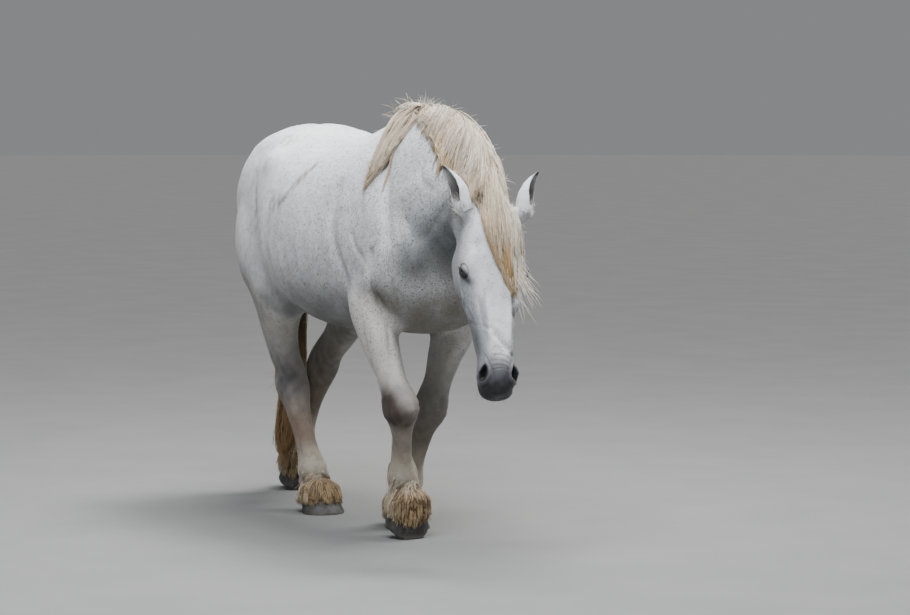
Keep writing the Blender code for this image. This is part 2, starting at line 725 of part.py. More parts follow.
def tongue(name, rows, where, count=14):
    """A lock of hair through places: point, across direction, out direction, half width, half depth."""
    rings = [ring(at, across.normalized(), out.normalized(), half, deep, deep, 2.2, 2.2, count) for at, across, out, half, deep in rows]
    return loft(name, rings, where)


def mane_withers(where):
    """The lock that parts at the withers and falls over the right shoulder."""
    back = Vector((0, 1, 0))
    rows = (
        (Vector((0.010, -0.480, 1.640)), back, Vector((0.6, 0, 1)), 0.070, 0.032),
        (Vector((-0.030, -0.475, 1.655)), back, Vector((-0.4, 0, 1)), 0.105, 0.040),
        (Vector((-0.080, -0.465, 1.610)), back, Vector((-1, 0, 0.75)), 0.110, 0.036),
        (Vector((-0.125, -0.455, 1.540)), back, Vector((-1, 0, 0.55)), 0.095, 0.030),
        (Vector((-0.165, -0.445, 1.465)), back, Vector((-1, 0, 0.5)), 0.066, 0.025),
        (Vector((-0.198, -0.438, 1.400)), back, Vector((-1, 0, 0.45)), 0.036, 0.018),
        (Vector((-0.220, -0.434, 1.360)), back, Vector((-1, 0, 0.4)), 0.012, 0.010),
    )
    return tongue("mane_withers", rows, where)


def forelock(where):
    """From between the ears down over the forehead and the left eye."""
    rows = []
    for across, out, down, half, deep in (
        (0.000, -0.100, -0.065, 0.070, 0.030),
        (0.005, -0.030, 0.000, 0.095, 0.038),
        (0.018, 0.012, 0.080, 0.108, 0.036),
        (0.035, 0.018, 0.180, 0.112, 0.034),
        (0.058, 0.010, 0.280, 0.100, 0.030),
        (0.078, 0.000, 0.370, 0.078, 0.024),
        (0.082, -0.005, 0.440, 0.045, 0.018),
        (0.082, -0.006, 0.480, 0.014, 0.010),
    ):
        turn = across * 5.2
        side = HEAD_LEFT * math.cos(turn) - FACE * math.sin(turn)
        look = FACE * math.cos(turn) + HEAD_LEFT * math.sin(turn)
        rows.append((on_head(across, out, down), side, look, half * HEAD, deep * HEAD))
    return tongue("forelock", rows, where)


# Hair round a pastern: place (fetlock 0, coronet 1, sole 2), front, behind, half width.
FEATHER = (
    (-0.62, 0.034, 0.060, 0.038),
    (-0.30, 0.050, 0.078, 0.056),
    (0.10, 0.062, 0.092, 0.074),
    (0.45, 0.066, 0.094, 0.084),
    (0.85, 0.080, 0.092, 0.092),
    (1.15, 0.084, 0.088, 0.094),
    (1.34, 0.082, 0.080, 0.090),
)


def feather(limb_name, where):
    toe, lift, slope, lean = TOES[limb_name]
    back, up = foot_frame(toe, lift)
    coronet, fetlock = coronet_of(toe, lift), fetlock_of(toe, lift, slope, lean)
    sole = toe + back * 0.098
    kind, side = limb_name.split("_")
    above = (foreleg_joints if kind == "fore" else hindleg_joints)(side)[-3]
    rings = []
    for place, front, behind, half in smooth_rows(FEATHER, 2):
        if place < 0:
            way = (above - fetlock).normalized()
            at = fetlock + way * -place * 0.16
        elif place < 1:
            way = (fetlock - coronet).normalized()
            at = fetlock.lerp(coronet, place)
        else:
            way = up
            at = coronet.lerp(sole, place - 1)
        ahead = (FORWARD - way * FORWARD.dot(way)).normalized()
        side_way = ahead.cross(way).normalized()
        centre = at + ahead * (front - behind) / 2
        rings.append(ring(centre, side_way, ahead, half, (front + behind) / 2, (front + behind) / 2, 2.1, 2.1, 22))
    return loft("feather_" + limb_name, rings, where)


# Down the tail: place, half width, half depth.
TAIL = (
    ((0.000, 0.835, 1.468), 0.040, 0.036),
    ((0.003, 0.905, 1.458), 0.052, 0.042),
    ((0.008, 0.980, 1.392), 0.060, 0.046),
    ((0.020, 1.012, 1.270), 0.066, 0.050),
    ((0.036, 1.015, 1.080), 0.070, 0.052),
    ((0.050, 1.000, 0.860), 0.068, 0.052),
    ((0.050, 0.985, 0.640), 0.062, 0.048),
    ((0.044, 0.972, 0.440), 0.060, 0.044),
    ((0.022, 0.962, 0.290), 0.062, 0.036),
    ((0.008, 0.958, 0.195), 0.045, 0.024),
    ((0.002, 0.956, 0.150), 0.014, 0.010),
)


def tail(where):
    rows = smooth_rows([(*at, half, deep) for at, half, deep in TAIL], 2)
    rings = []
    for i, (x, y, z, half, deep) in enumerate(rows):
        before, after = rows[max(i - 1, 0)], rows[min(i + 1, len(rows) - 1)]
        way = (Vector(after[:3]) - Vector(before[:3])).normalized()
        side = Vector((1, 0, 0))
        rings.append(ring(Vector((x, y, z)), side, side.cross(way).normalized(), half, deep, deep, 2.0, 2.0, 18))
    return loft("tail", rings, where)


# ---------------------------------------------------------------- parting the body


def boolean(obj, tool, operation):
    modify(obj, "BOOLEAN", operation=operation, object=tool, solver="EXACT")
    return bake(obj)


def rounded(obj, voxel, triangles):
    """The same form as one even skin of about so many triangles."""
    modify(obj, "REMESH", mode="VOXEL", voxel_size=voxel, adaptivity=0)
    modify(obj, "SMOOTH", factor=0.5, iterations=4)
    bake(obj)
    now = sum(len(p.vertices) - 2 for p in obj.data.polygons)
    modify(obj, "DECIMATE", ratio=min(1, triangles / now), use_collapse_triangulate=True)
    return bake(obj)


def grown(obj, amount, where):
    made = copy_of(obj, obj.name + "_grown", where)
    modify(made, "DISPLACE", strength=amount, mid_level=0)
    return bake(made)


def slab(name, rows, thickness, where):
    """A thin plate through rows of points."""
    normal = (rows[0][1] - rows[0][0]).cross(rows[1][0] - rows[0][0]).normalized() * (thickness / 2)
    bm = bmesh.new()
    low = [[bm.verts.new(p - normal) for p in row] for row in rows]
    high = [[bm.verts.new(p + normal) for p in row] for row in rows]
    across, along = len(rows[0]), len(rows)
    for sheet in (low, high):
        for j in range(along - 1):
            for i in range(across - 1):
                bm.faces.new((sheet[j][i], sheet[j][i + 1], sheet[j + 1][i + 1], sheet[j + 1][i]))
    edge = [(0, i) for i in range(across)] + [(j, across - 1) for j in range(1, along)]
    edge += [(along - 1, i) for i in range(across - 2, -1, -1)] + [(j, 0) for j in range(along - 2, 0, -1)]
    for (j0, i0), (j1, i1) in zip(edge, edge[1:] + edge[:1]):
        bm.faces.new((low[j0][i0], low[j1][i1], high[j1][i1], high[j0][i0]))
    return new_object(name, bm, where)


def plate(name, centre, normal, reach, thickness, where):
    """A thin square plate at right angles to a direction."""
    side = normal.cross(Vector((0, 1, 0)) if abs(normal.y) < 0.9 else Vector((1, 0, 0))).normalized()
    other = normal.cross(side).normalized()
    rows = [[centre + side * a * reach + other * b * reach for a in (-1, 1)] for b in (-1, 1)]
    return slab(name, rows, thickness, where)


def across_body(half, line):
    """Rows of points from side to side at each y, z."""
    return [[Vector((-half, y, z)), Vector((half, y, z))] for y, z in line]


def cuts(where):
    wide = 0.55
    made = [
        slab("cut_neck", across_body(wide, ((-0.455, 1.744), (-0.875, 0.960))), GAP, where),
        slab("cut_head", across_body(0.3, ((-1.185, 1.500), (-0.838, 0.980))), GAP, where),
        slab("cut_hind", across_body(wide, ((0.16, 0.672), (1.06, 1.350))), GAP, where),
    ]
    for s in (LEFT, RIGHT):
        rows = [
            [mirrored((0.075, y, z), s), mirrored((0.42, y, z + 0.328), s)]
            for y, z in ((-0.95, 0.766), (-0.42, 0.766), (-0.02, 0.540))
        ]
        made.append(slab("cut_fore", rows, GAP, where))
    made.append(slab("cut_groin", [[Vector((0, 0.10, 0.55)), Vector((0, 0.10, 0.6268))], [Vector((0, 1.20, 0.55)), Vector((0, 1.20, 1.4554))]], GAP, where))
    for side in ("left", "right"):
        _, knee, fetlock, _ = foreleg_joints(side)
        made.append(plate("cut_knee", knee.lerp(fetlock, 0.25), (fetlock - knee).normalized(), 0.095, GAP, where))
        _, _, hock, fetlock, _ = hindleg_joints(side)
        made.append(plate("cut_hock", hock.lerp(fetlock, 0.24), (fetlock - hock).normalized(), 0.100, GAP, where))
    return made


def below_coronet(limb_name, where):
    """All of the leg that the hoof replaces, and the gap above it."""
    centre, up = coronet_plane(limb_name)
    base = centre + up * GAP
    bm = bmesh.new()
    bmesh.ops.create_cube(bm, size=1)
    frame = Matrix((Vector((1, 0, 0)), up.cross(Vector((1, 0, 0))), up)).transposed().to_4x4()
    bm.transform(Matrix.Translation(base - up * 0.11) @ frame @ Matrix.Diagonal((0.24, 0.26, 0.22, 1)))
    return new_object("below_" + limb_name, bm, where)


def loose_pieces(obj):
    bm = bmesh.new()
    bm.from_mesh(obj.data)
    seen, pieces = set(), []
    for start in bm.verts:
        if start.index in seen:
            continue
        stack, piece = [start], []
        seen.add(start.index)
        while stack:
            vertex = stack.pop()
            piece.append(vertex.index)
            for edge in vertex.link_edges:
                other = edge.other_vert(vertex)
                if other.index not in seen:
                    seen.add(other.index)
                    stack.append(other)
        pieces.append(set(piece))
    bm.free()
    return pieces


def split(obj, where):
    """The loose pieces of a body, largest first."""
    made = []
    for piece in sorted(loose_pieces(obj), key=len, reverse=True):
        bm = bmesh.new()
        bm.from_mesh(obj.data)
        bmesh.ops.delete(bm, geom=[v for v in bm.verts if v.index not in piece], context="VERTS")
        bmesh.ops.triangulate(bm, faces=bm.faces[:])
        if bm.calc_volume() > 1e-6:
            made.append(new_object_kept(obj.name + "_piece", bm, where))
        else:
            bm.free()
    bpy.data.objects.remove(obj)
    return made


def tidy(obj):
    """Welds what a cut left too close together, merges level faces, and triangulates."""
    bm = bmesh.new()
    bm.from_mesh(obj.data)
    bmesh.ops.remove_doubles(bm, verts=bm.verts[:], dist=4e-5)
    bmesh.ops.dissolve_limit(bm, angle_limit=math.radians(0.4), verts=bm.verts[:], edges=bm.edges[:])
    bmesh.ops.triangulate(bm, faces=bm.faces[:])
    bm.to_mesh(obj.data)
    bm.free()


def largest(obj, name, where):
    pieces = split(obj, where)
    for extra in pieces[1:]:
        bpy.data.objects.remove(extra)
    pieces[0].name = name
    return pieces[0]


def landmarks():
    """A point within each piece of flesh."""
    places = {
        "trunk": Vector((0, 0.05, 1.20)),
        "neck": Vector((POLL.x * 0.3, -0.84, 1.40)),
        "head": on_head(0, -0.15, 0.45),
    }
    for side in ("left", "right"):
        elbow, knee, fetlock, _ = foreleg_joints(side)
        places["foreleg_upper_" + side] = elbow.lerp(knee, 0.5)
        places["foreleg_lower_" + side] = knee.lerp(fetlock, 0.6)
        _, stifle, hock, fetlock, _ = hindleg_joints(side)
        places["hindleg_upper_" + side] = stifle.lerp(hock, 0.5)
        places["hindleg_lower_" + side] = hock.lerp(fetlock, 0.6)
    return places


def part_flesh(flesh, where):
    for cutter in cuts(where):
        boolean(flesh, cutter, "DIFFERENCE")
        bpy.data.objects.remove(cutter)
    for limb_name in TOES:
        cutter = below_coronet(limb_name, where)
        boolean(flesh, cutter, "DIFFERENCE")
        bpy.data.objects.remove(cutter)
    pieces = split(flesh, where)
    named = {}
    for name, place in landmarks().items():
        nearest = min(pieces, key=lambda piece: min((v.co - place).length for v in piece.data.vertices))
        pieces.remove(nearest)
        nearest.name = name
        named[name] = nearest
    for extra in pieces:
        bpy.data.objects.remove(extra)
    return named


def main():
    clear_scene()
    horse = collection("horse")
    work = collection("work")
    flesh = whole_flesh(work)
    triangles = sum(len(p.vertices) - 2 for p in flesh.data.polygons)
    modify(flesh, "DECIMATE", ratio=FLESH_TRIANGLES / triangles, use_collapse_triangulate=True)
    bake(flesh)

    hair = material("hair", (0.72, 0.66, 0.55), 0.75)
    tail_hair = material("tail_hair", (0.25, 0.14, 0.07), 0.7)
    coat = material("coat", (0.70, 0.71, 0.72), 0.8)
    horn = material("horn", (0.05, 0.05, 0.055), 0.5)
    glassy = material("eye", (0.015, 0.01, 0.008), 0.08)

    bodies = {}
    clearance = grown(flesh, GAP * 1.4, work)
    hooves = {name: hoof(name, work) for name in TOES}
    for name, obj in hooves.items():
        bodies[obj.name] = (obj, horn)
    for side in ("left", "right"):
        obj = ear(side, work)
        boolean(obj, clearance, "DIFFERENCE")
        bodies["ear_" + side] = (largest(obj, "ear_" + side, work), coat)
        obj = eye(side, work)
        bodies["eye_" + side] = (obj, glassy)
    blockers = [clearance]
    for name in ("ear_left", "ear_right", "eye_left", "eye_right"):
        blockers.append(grown(bodies[name][0], GAP * 6, work))
    for maker, voxel, fine in ((forelock, 0.008, 190), (mane_neck, 0.009, 270), (mane_withers, 0.008, 180), (tail, 0.010, 280)):
        obj = rounded(maker(work), voxel, fine)
        name = obj.name
        for blocker in blockers:
            boolean(obj, blocker, "DIFFERENCE")
        obj = largest(obj, name, work)
        blockers.append(grown(obj, GAP * 1.4, work))
        bodies[name] = (obj, tail_hair if name == "tail" else hair)
    for limb_name, horn_body in hooves.items():
        obj = rounded(feather(limb_name, work), 0.008, 116)
        boolean(obj, clearance, "DIFFERENCE")
        blocker = grown(horn_body, GAP * 4, work)
        boolean(obj, blocker, "DIFFERENCE")
        bpy.data.objects.remove(blocker)
        bodies["feather_" + limb_name] = (largest(obj, "feather_" + limb_name, work), hair)
    for blocker in blockers:
        bpy.data.objects.remove(blocker)

    for side in ("left", "right"):
        socket = grown(bodies["eye_" + side][0], GAP, work)
        boolean(flesh, socket, "DIFFERENCE")
        bpy.data.objects.remove(socket)
    for name, obj in part_flesh(flesh, work).items():
        bodies[name] = (obj, coat)

    low, high = Vector((1e9,) * 3), Vector((-1e9,) * 3)
    for obj, _ in bodies.values():
        tidy(obj)
        for vertex in obj.data.vertices:
            low = Vector(map(min, low, vertex.co))
            high = Vector(map(max, high, vertex.co))
    offset = Vector((-(low.x + high.x) / 2, -(low.y + high.y) / 2, -low.z))
    for name, (obj, look) in bodies.items():
        obj.data.transform(Matrix.Translation(offset))
        obj.data.materials.clear()
        obj.data.materials.append(look)
        obj.name = name
        work.objects.unlink(obj)
        horse.objects.link(obj)
    bpy.data.collections.remove(work)


main()
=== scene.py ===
"""A grey heavy horse at a slow walk: one skin, eyes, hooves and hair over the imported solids."""

import math

import bmesh
import bpy
import numpy as np
from mathutils import Matrix, Vector
from mathutils.bvhtree import BVHTree


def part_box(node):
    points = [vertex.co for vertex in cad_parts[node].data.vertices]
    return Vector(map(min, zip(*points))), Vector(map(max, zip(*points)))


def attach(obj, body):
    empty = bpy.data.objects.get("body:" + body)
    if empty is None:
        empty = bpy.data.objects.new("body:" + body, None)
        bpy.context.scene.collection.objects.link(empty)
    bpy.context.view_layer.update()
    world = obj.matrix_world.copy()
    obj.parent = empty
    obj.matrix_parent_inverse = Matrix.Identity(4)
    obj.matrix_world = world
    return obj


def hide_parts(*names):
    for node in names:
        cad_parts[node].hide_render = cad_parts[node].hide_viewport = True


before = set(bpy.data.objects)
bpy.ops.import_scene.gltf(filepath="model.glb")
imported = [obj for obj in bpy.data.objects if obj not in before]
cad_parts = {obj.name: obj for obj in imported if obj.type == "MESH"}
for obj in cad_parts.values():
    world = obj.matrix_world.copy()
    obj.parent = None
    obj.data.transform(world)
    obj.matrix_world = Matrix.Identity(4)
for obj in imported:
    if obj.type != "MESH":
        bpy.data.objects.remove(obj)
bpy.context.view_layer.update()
rng = np.random.default_rng(11)

# ---------------------------------------------------------------- sizes, in metres
COAT_DEPTH = 0.003  # the skin lies this far inside the solids
SKIN_VOXEL, HAIR_VOXEL, HORN_VOXEL, EAR_VOXEL = 0.0080, 0.0060, 0.0055, 0.0020
HEAD = 0.725  # poll to upper lip
HEAD_PITCH, HEAD_ROLL, HEAD_YAW = math.radians(20), math.radians(3.5), math.radians(-11)
EYE_PLACE = (0.146, -0.080, 0.347)  # in heads: to the side, out of the face, down from the poll
EYE_RADIUS = 0.0235
PATCH = 0.003  # side of each tuft's patch on the unwrapped skin
STRIDE = 0.014  # of a strand as it is traced

UP, DOWN, FORWARD = Vector((0, 0, 1)), Vector((0, 0, -1)), Vector((0, -1, 0))
LEFT, RIGHT = 1, -1
SIDES = {"left": LEFT, "right": RIGHT}
LIMBS = ("fore_left", "fore_right", "hind_left", "hind_right")
LEGS = ("foreleg_upper", "foreleg_lower", "hindleg_upper", "hindleg_lower")
LEG_NODES = [f"{leg}_{side}" for leg in LEGS for side in SIDES]
FLESH = ["trunk", "neck", "head"] + LEG_NODES
EARS = ["ear_left", "ear_right"]


# ---------------------------------------------------------------- the head's own frame


def middle(node):
    """The middle of a node's box."""
    low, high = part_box(node)
    return (low + high) / 2


TURN = Matrix.Rotation(HEAD_YAW, 3, "Z") @ Matrix.Rotation(HEAD_ROLL, 3, "Y")
TURN = TURN @ Matrix.Rotation(-HEAD_PITCH, 3, "X")
HEAD_LEFT, FACE, MUZZLE = TURN @ Vector((1, 0, 0)), TURN @ FORWARD, TURN @ DOWN
POLL = (middle("eye_left") + middle("eye_right")) / 2 - (FACE * EYE_PLACE[1] + MUZZLE * EYE_PLACE[2]) * HEAD


def on_head(across, out, down):
    """A point from the poll: to the head's left, out of the face, and towards the muzzle, in heads."""
    return POLL + (HEAD_LEFT * across + FACE * out + MUZZLE * down) * HEAD


def in_heads(points):
    """Points (n, 3) as across, out and down in heads."""
    return (points - np.array(POLL)) @ np.array((HEAD_LEFT, FACE, MUZZLE)).T / HEAD


# ---------------------------------------------------------------- arithmetic on many points


def unit(vectors):
    return vectors / np.maximum(np.linalg.norm(vectors, axis=-1, keepdims=True), 1e-9)


def smoothstep(values, low, high):
    share = np.clip((values - low) / (high - low), 0, 1)
    return share * share * (3 - 2 * share)


def ease(value, low, high):
    """The same for one plain number."""
    share = min(max((value - low) / (high - low), 0), 1)
    return share * share * (3 - 2 * share)


def bell(values, centre, width):
    """1 at the centre, fading over a width."""
    return np.exp(-(((values - centre) / width) ** 2))


def near(points, centre, radius):
    """1 at a place, fading over a radius."""
    away = points - np.array(centre)
    return np.exp(-np.sum(away * away, axis=1) / radius**2)


def blend(tones, colour, share):
    """Tones moved a share of the way to a colour."""
    return tones * (1 - share) + colour * share


def waves(points, size, seed, count=7):
    """Smooth noise from -1 to 1, of about so large a grain."""
    source = np.random.default_rng(seed)
    total = np.zeros(len(points))
    for _ in range(count):
        way = unit(source.normal(size=3)) * source.uniform(0.6, 1.7) * 2 * math.pi / size
        total += np.sin(points @ way + source.uniform(0, 2 * math.pi))
    return np.clip(total / count * 1.7, -1, 1)


def curve(points, steps=6):
    """A smooth line through points."""
    points = [np.array(p, float) for p in points]
    ends = [2 * points[0] - points[1]] + points + [2 * points[-1] - points[-2]]
    made = []
    for a, b, c, d in zip(ends, ends[1:], ends[2:], ends[3:]):
        for k in range(steps):
            t = k / steps
            straight, bend = 2 * b + (c - a) * t, 2 * a - 5 * b + 4 * c - d
            made.append(0.5 * (straight + bend * t * t + (3 * b - a - 3 * c + d) * t**3))
    return np.array(made + [points[-1]])


def from_line(points, line):
    """Distance of each point from a line, and how far along the line its nearest place is, 0 to 1."""
    best, along = np.full(len(points), 1e9), np.zeros(len(points))
    lengths = np.linalg.norm(np.diff(line, axis=0), axis=1)
    starts, total = np.concatenate(([0], np.cumsum(lengths))), lengths.sum()
    for i, (a, b) in enumerate(zip(line, line[1:])):
        way = b - a
        share = np.clip(((points - a) @ way) / max(way @ way, 1e-12), 0, 1)
        away = np.linalg.norm(points - a - share[:, None] * way, axis=1)
        closer = away < best
        best = np.where(closer, away, best)
        along = np.where(closer, (starts[i] + share * lengths[i]) / total, along)
    return best, along


def shade(red, green, blue):
    """A colour as a screen shows it, made linear."""
    shares = [c / 255 for c in (red, green, blue)]
    return np.array([c / 12.92 if c < 0.0404 else ((c + 0.055) / 1.055) ** 2.4 for c in shares])


# ---------------------------------------------------------------- meshes


def column(items, name, width, kind=np.float32):
    values = np.empty(len(items) * width, kind)
    items.foreach_get(name, values)
    return values.reshape(-1, width)


def places(mesh):
    return column(mesh.vertices, "co", 3).astype(float)


def directions(mesh):
    return column(mesh.vertex_normals, "vector", 3).astype(float)


def node_points(node):
    """The corners of a CAD node."""
    return places(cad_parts[node].data)


def put(mesh, points):
    mesh.vertices.foreach_set("co", points.astype(np.float32).ravel())
    mesh.update()


def rounded(mesh):
    """Shades a mesh smoothly."""
    mesh.polygons.foreach_set("use_smooth", np.ones(len(mesh.polygons), bool))


def new_object(name, mesh):
    obj = bpy.data.objects.new(name, mesh)
    bpy.context.scene.collection.objects.link(obj)
    return obj


def mesh_from(name, bm):
    """What was edited, as a mesh."""
    mesh = bpy.data.meshes.new(name)
    bm.to_mesh(mesh)
    bm.free()
    return mesh


def triangles_mesh(name, points, triangles):
    mesh = bpy.data.meshes.new(name)
    mesh.vertices.add(len(points))
    mesh.vertices.foreach_set("co", np.asarray(points, np.float32).ravel())
    mesh.loops.add(len(triangles) * 3)
    mesh.loops.foreach_set("vertex_index", np.asarray(triangles, np.int32).ravel())
    mesh.polygons.add(len(triangles))
    mesh.polygons.foreach_set("loop_start", np.arange(0, len(triangles) * 3, 3, dtype=np.int32))
    mesh.update(calc_edges=True)
    mesh.validate()
    return mesh


def set_colours(mesh, name, colours):
    layer = mesh.color_attributes.new(name, "FLOAT_COLOR", "POINT")
    filled = np.ones((len(colours), 4), np.float32)
    filled[:, : colours.shape[1]] = colours
    layer.data.foreach_set("color", filled.ravel())


def applied(obj):
    """The object with its modifiers applied to its mesh."""
    shown = obj.evaluated_get(bpy.context.evaluated_depsgraph_get())
    mesh = bpy.data.meshes.new_from_object(shown)
    obj.modifiers.clear()
    obj.data = mesh
    return obj


def voxels(obj, size):
    """The object's mesh made again in even squares of a size."""
    modifier = obj.modifiers.new("voxels", "REMESH")
    modifier.mode = "VOXEL"
    modifier.voxel_size = size
    return applied(obj)


def fewer(obj, share):
    """The object with a share of its triangles."""
    modifier = obj.modifiers.new("fewer", "DECIMATE")
    modifier.ratio = share
    return applied(obj)


def welded(node, grow=0.0, scale=1.0):
    """A CAD node's mesh, closed again, and moved out along its normals or scaled about its middle."""
    bm = bmesh.new()
    bm.from_mesh(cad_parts[node].data)
    bmesh.ops.remove_doubles(bm, verts=bm.verts[:], dist=1e-6)
    bm.normal_update()
    centre = middle(node)
    moved = [centre + (v.co - centre) * scale + v.normal * grow for v in bm.verts]
    for vertex, place in zip(bm.verts, moved):
        vertex.co = place
    return mesh_from(node, bm)


def joined(name, meshes):
    bm = bmesh.new()
    for mesh in meshes:
        bm.from_mesh(mesh)
    return new_object(name, mesh_from(name, bm))


def hull(name, points):
    """The tight solid round some points."""
    bm = bmesh.new()
    for point in points:
        bm.verts.new(point)
    made = bmesh.ops.convex_hull(bm, input=bm.verts[:])
    inside = [v for v in made["geom_interior"] if isinstance(v, bmesh.types.BMVert)]
    bmesh.ops.delete(bm, geom=inside, context="VERTS")
    bmesh.ops.recalc_face_normals(bm, faces=bm.faces[:])
    return mesh_from(name, bm)


class Net:
    """Which points of a mesh are joined, for smoothing over it."""

    def __init__(self, mesh):
        self.a, self.b = column(mesh.edges, "vertices", 2, np.int32).T
        self.size = len(mesh.vertices)
        edges = np.bincount(self.a, minlength=self.size) + np.bincount(self.b, minlength=self.size)
        self.degree = np.maximum(edges, 1)

    def mean(self, values):
        out = np.empty_like(values)
        for k in range(values.shape[1]):
            v = values[:, k]
            out[:, k] = np.bincount(self.a, v[self.b], self.size) + np.bincount(self.b, v[self.a], self.size)
        return out / self.degree[:, None]

    def spread(self, values, rounds):
        for _ in range(rounds):
            values = self.mean(values)
        return values


def soften(mesh, rounds, restore, weight=1.0):
    """Smooths a mesh's facets away, and gives its volume back."""
    net, before = Net(mesh), places(mesh)
    points = before
    for _ in range(rounds):
        points = points + (net.mean(points) - points) * 0.5 * weight
    put(mesh, points)
    normals = directions(mesh)
    lost = np.sum((before - points) * normals, axis=1, keepdims=True)
    put(mesh, points + normals * net.spread(lost, restore))


def tree_of(mesh):
    mesh.calc_loop_triangles()
    return BVHTree.FromPolygons([v.co for v in mesh.vertices], [t.vertices for t in mesh.loop_triangles])


def unwrap(obj):
    """A UV map of the piece's own shape."""
    while obj.data.uv_layers:
        obj.data.uv_layers.remove(obj.data.uv_layers[0])
    obj.data.uv_layers.new(name="OFBake")
    for other in bpy.context.selected_objects:
        other.select_set(False)
    bpy.context.view_layer.objects.active = obj
    obj.select_set(True)
    bpy.ops.object.mode_set(mode="EDIT")
    bpy.ops.mesh.select_all(action="SELECT")
    bpy.ops.uv.smart_project(angle_limit=math.radians(66), island_margin=0.0015)
    bpy.ops.object.mode_set(mode="OBJECT")
    obj.select_set(False)


def finished(obj, material, slot, *nodes):
    """A piece with its material, on the one body, in place of any solids it stands for."""
    obj.data.materials.clear()
    obj.data.materials.append(material)
    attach(obj, "root")
    if nodes:
        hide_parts(*nodes)


# ---------------------------------------------------------------- skin


def divide(mesh, chosen):
    """Splits the faces whose every corner is chosen into four."""
    bm = bmesh.new()
    bm.from_mesh(mesh)
    faces = [f for f in bm.faces if all(chosen[v.index] for v in f.verts)]
    edges = list({e for f in faces for e in f.edges})
    bmesh.ops.subdivide_edges(bm, edges=edges, cuts=1, use_grid_fill=True)
    bm.to_mesh(mesh)
    bm.free()
    mesh.update()


def fine_places(points):
    """Where the skin is finest: eyes, nostrils and lips."""
    across, out, down = in_heads(points).T
    eyes = (np.hypot(np.abs(across) - 0.15, down - 0.35) < 0.085) & (np.abs(across) > 0.08)
    muzzle = (down > 0.77) & (np.abs(across) < 0.2) & (out > -0.3)
    return eyes | muzzle


def ear_root(name):
    """The lower part of an ear, filled, so that the head's skin runs up into it."""
    points = node_points("ear_" + name)
    height = (points[:, 2] - points[:, 2].min()) / (points[:, 2].max() - points[:, 2].min())
    low = points[height < 0.34]
    centre = low.mean(axis=0)
    inside = np.array(on_head(0.055 * SIDES[name], -0.150, 0.060))
    return hull("ear_root", np.concatenate([centre + (low - centre) * 1.04, inside + (low - centre) * 1.15]))


def base_skin():
    """The solids of flesh as one even skin, with roots into the hooves and the ears."""
    meshes = [welded(node, grow=0.0004) for node in FLESH]
    meshes += [welded("hoof_" + limb, scale=0.80) for limb in LIMBS]
    meshes += [welded("eye_" + side, grow=0.0006) for side in SIDES]
    meshes += [ear_root(side) for side in SIDES]
    skin = voxels(joined("skin", meshes), SKIN_VOXEL)
    mesh = skin.data
    points = places(mesh)
    on_the_head = (in_heads(points)[:, 2] > -0.05) & (points[:, 1] < -0.85)
    soften(mesh, rounds=34, restore=30, weight=np.where(on_the_head, 0.45, 1.0)[:, None])
    points = places(mesh)
    heads = in_heads(points)
    divide(mesh, (heads[:, 2] > -0.03) & (heads[:, 1] > -0.50) & (points[:, 1] < -0.90))
    soften(mesh, rounds=2, restore=2)
    divide(mesh, fine_places(places(mesh)))
    soften(mesh, rounds=2, restore=2)
    put(mesh, places(mesh) - directions(mesh) * COAT_DEPTH)
    return skin


class Sculpt:
    """Raises and sinks the skin along lines laid on it."""

    def __init__(self, mesh):
        self.mesh = mesh
        self.points, self.normals = places(mesh), directions(mesh)
        self.tree = tree_of(mesh)
        self.height = np.zeros(len(self.points))

    def cast(self, start, way):
        """The skin's nearest place from a start along a way."""
        hit = self.tree.ray_cast(Vector(start), Vector(way))[0]
        return np.array(hit if hit else self.tree.find_nearest(Vector(start))[0])

    def flank(self, side, y, z):
        return self.cast((side, y, z), (-side, 0, 0))

    def front(self, x, z):
        return self.cast((x, -2, z), (0, 1, 0))

    def top(self, x, y):
        return self.cast((x, y, 3), (0, 0, -1))

    def face(self, across, down):
        return self.cast(on_head(across, 0.5, down), -FACE)

    def cheek(self, side, out, down):
        return self.cast(on_head(0.5 * side, out, down), -HEAD_LEFT * side)

    def stroke(self, line, width, height, ends=0.25):
        """A ridge, or a groove where height is negative; it fades over a share of its length at each end."""
        line = curve(line)
        reach = 3 * width
        low, high = line.min(axis=0) - reach, line.max(axis=0) + reach
        chosen = np.nonzero(np.all((self.points > low) & (self.points < high), axis=1))[0]
        away, along = from_line(self.points[chosen], line)
        fade = np.clip(np.minimum(along, 1 - along) / ends, 0, 1)
        self.height[chosen] += height * np.exp(-((away / width) ** 2)) * fade * (2 - fade)

    def dent(self, place, width, height):
        away = np.linalg.norm(self.points - place, axis=1)
        self.height += height * np.exp(-((away / width) ** 2))

    def settle(self):
        put(self.mesh, self.points + self.normals * self.height[:, None])
        self.__init__(self.mesh)


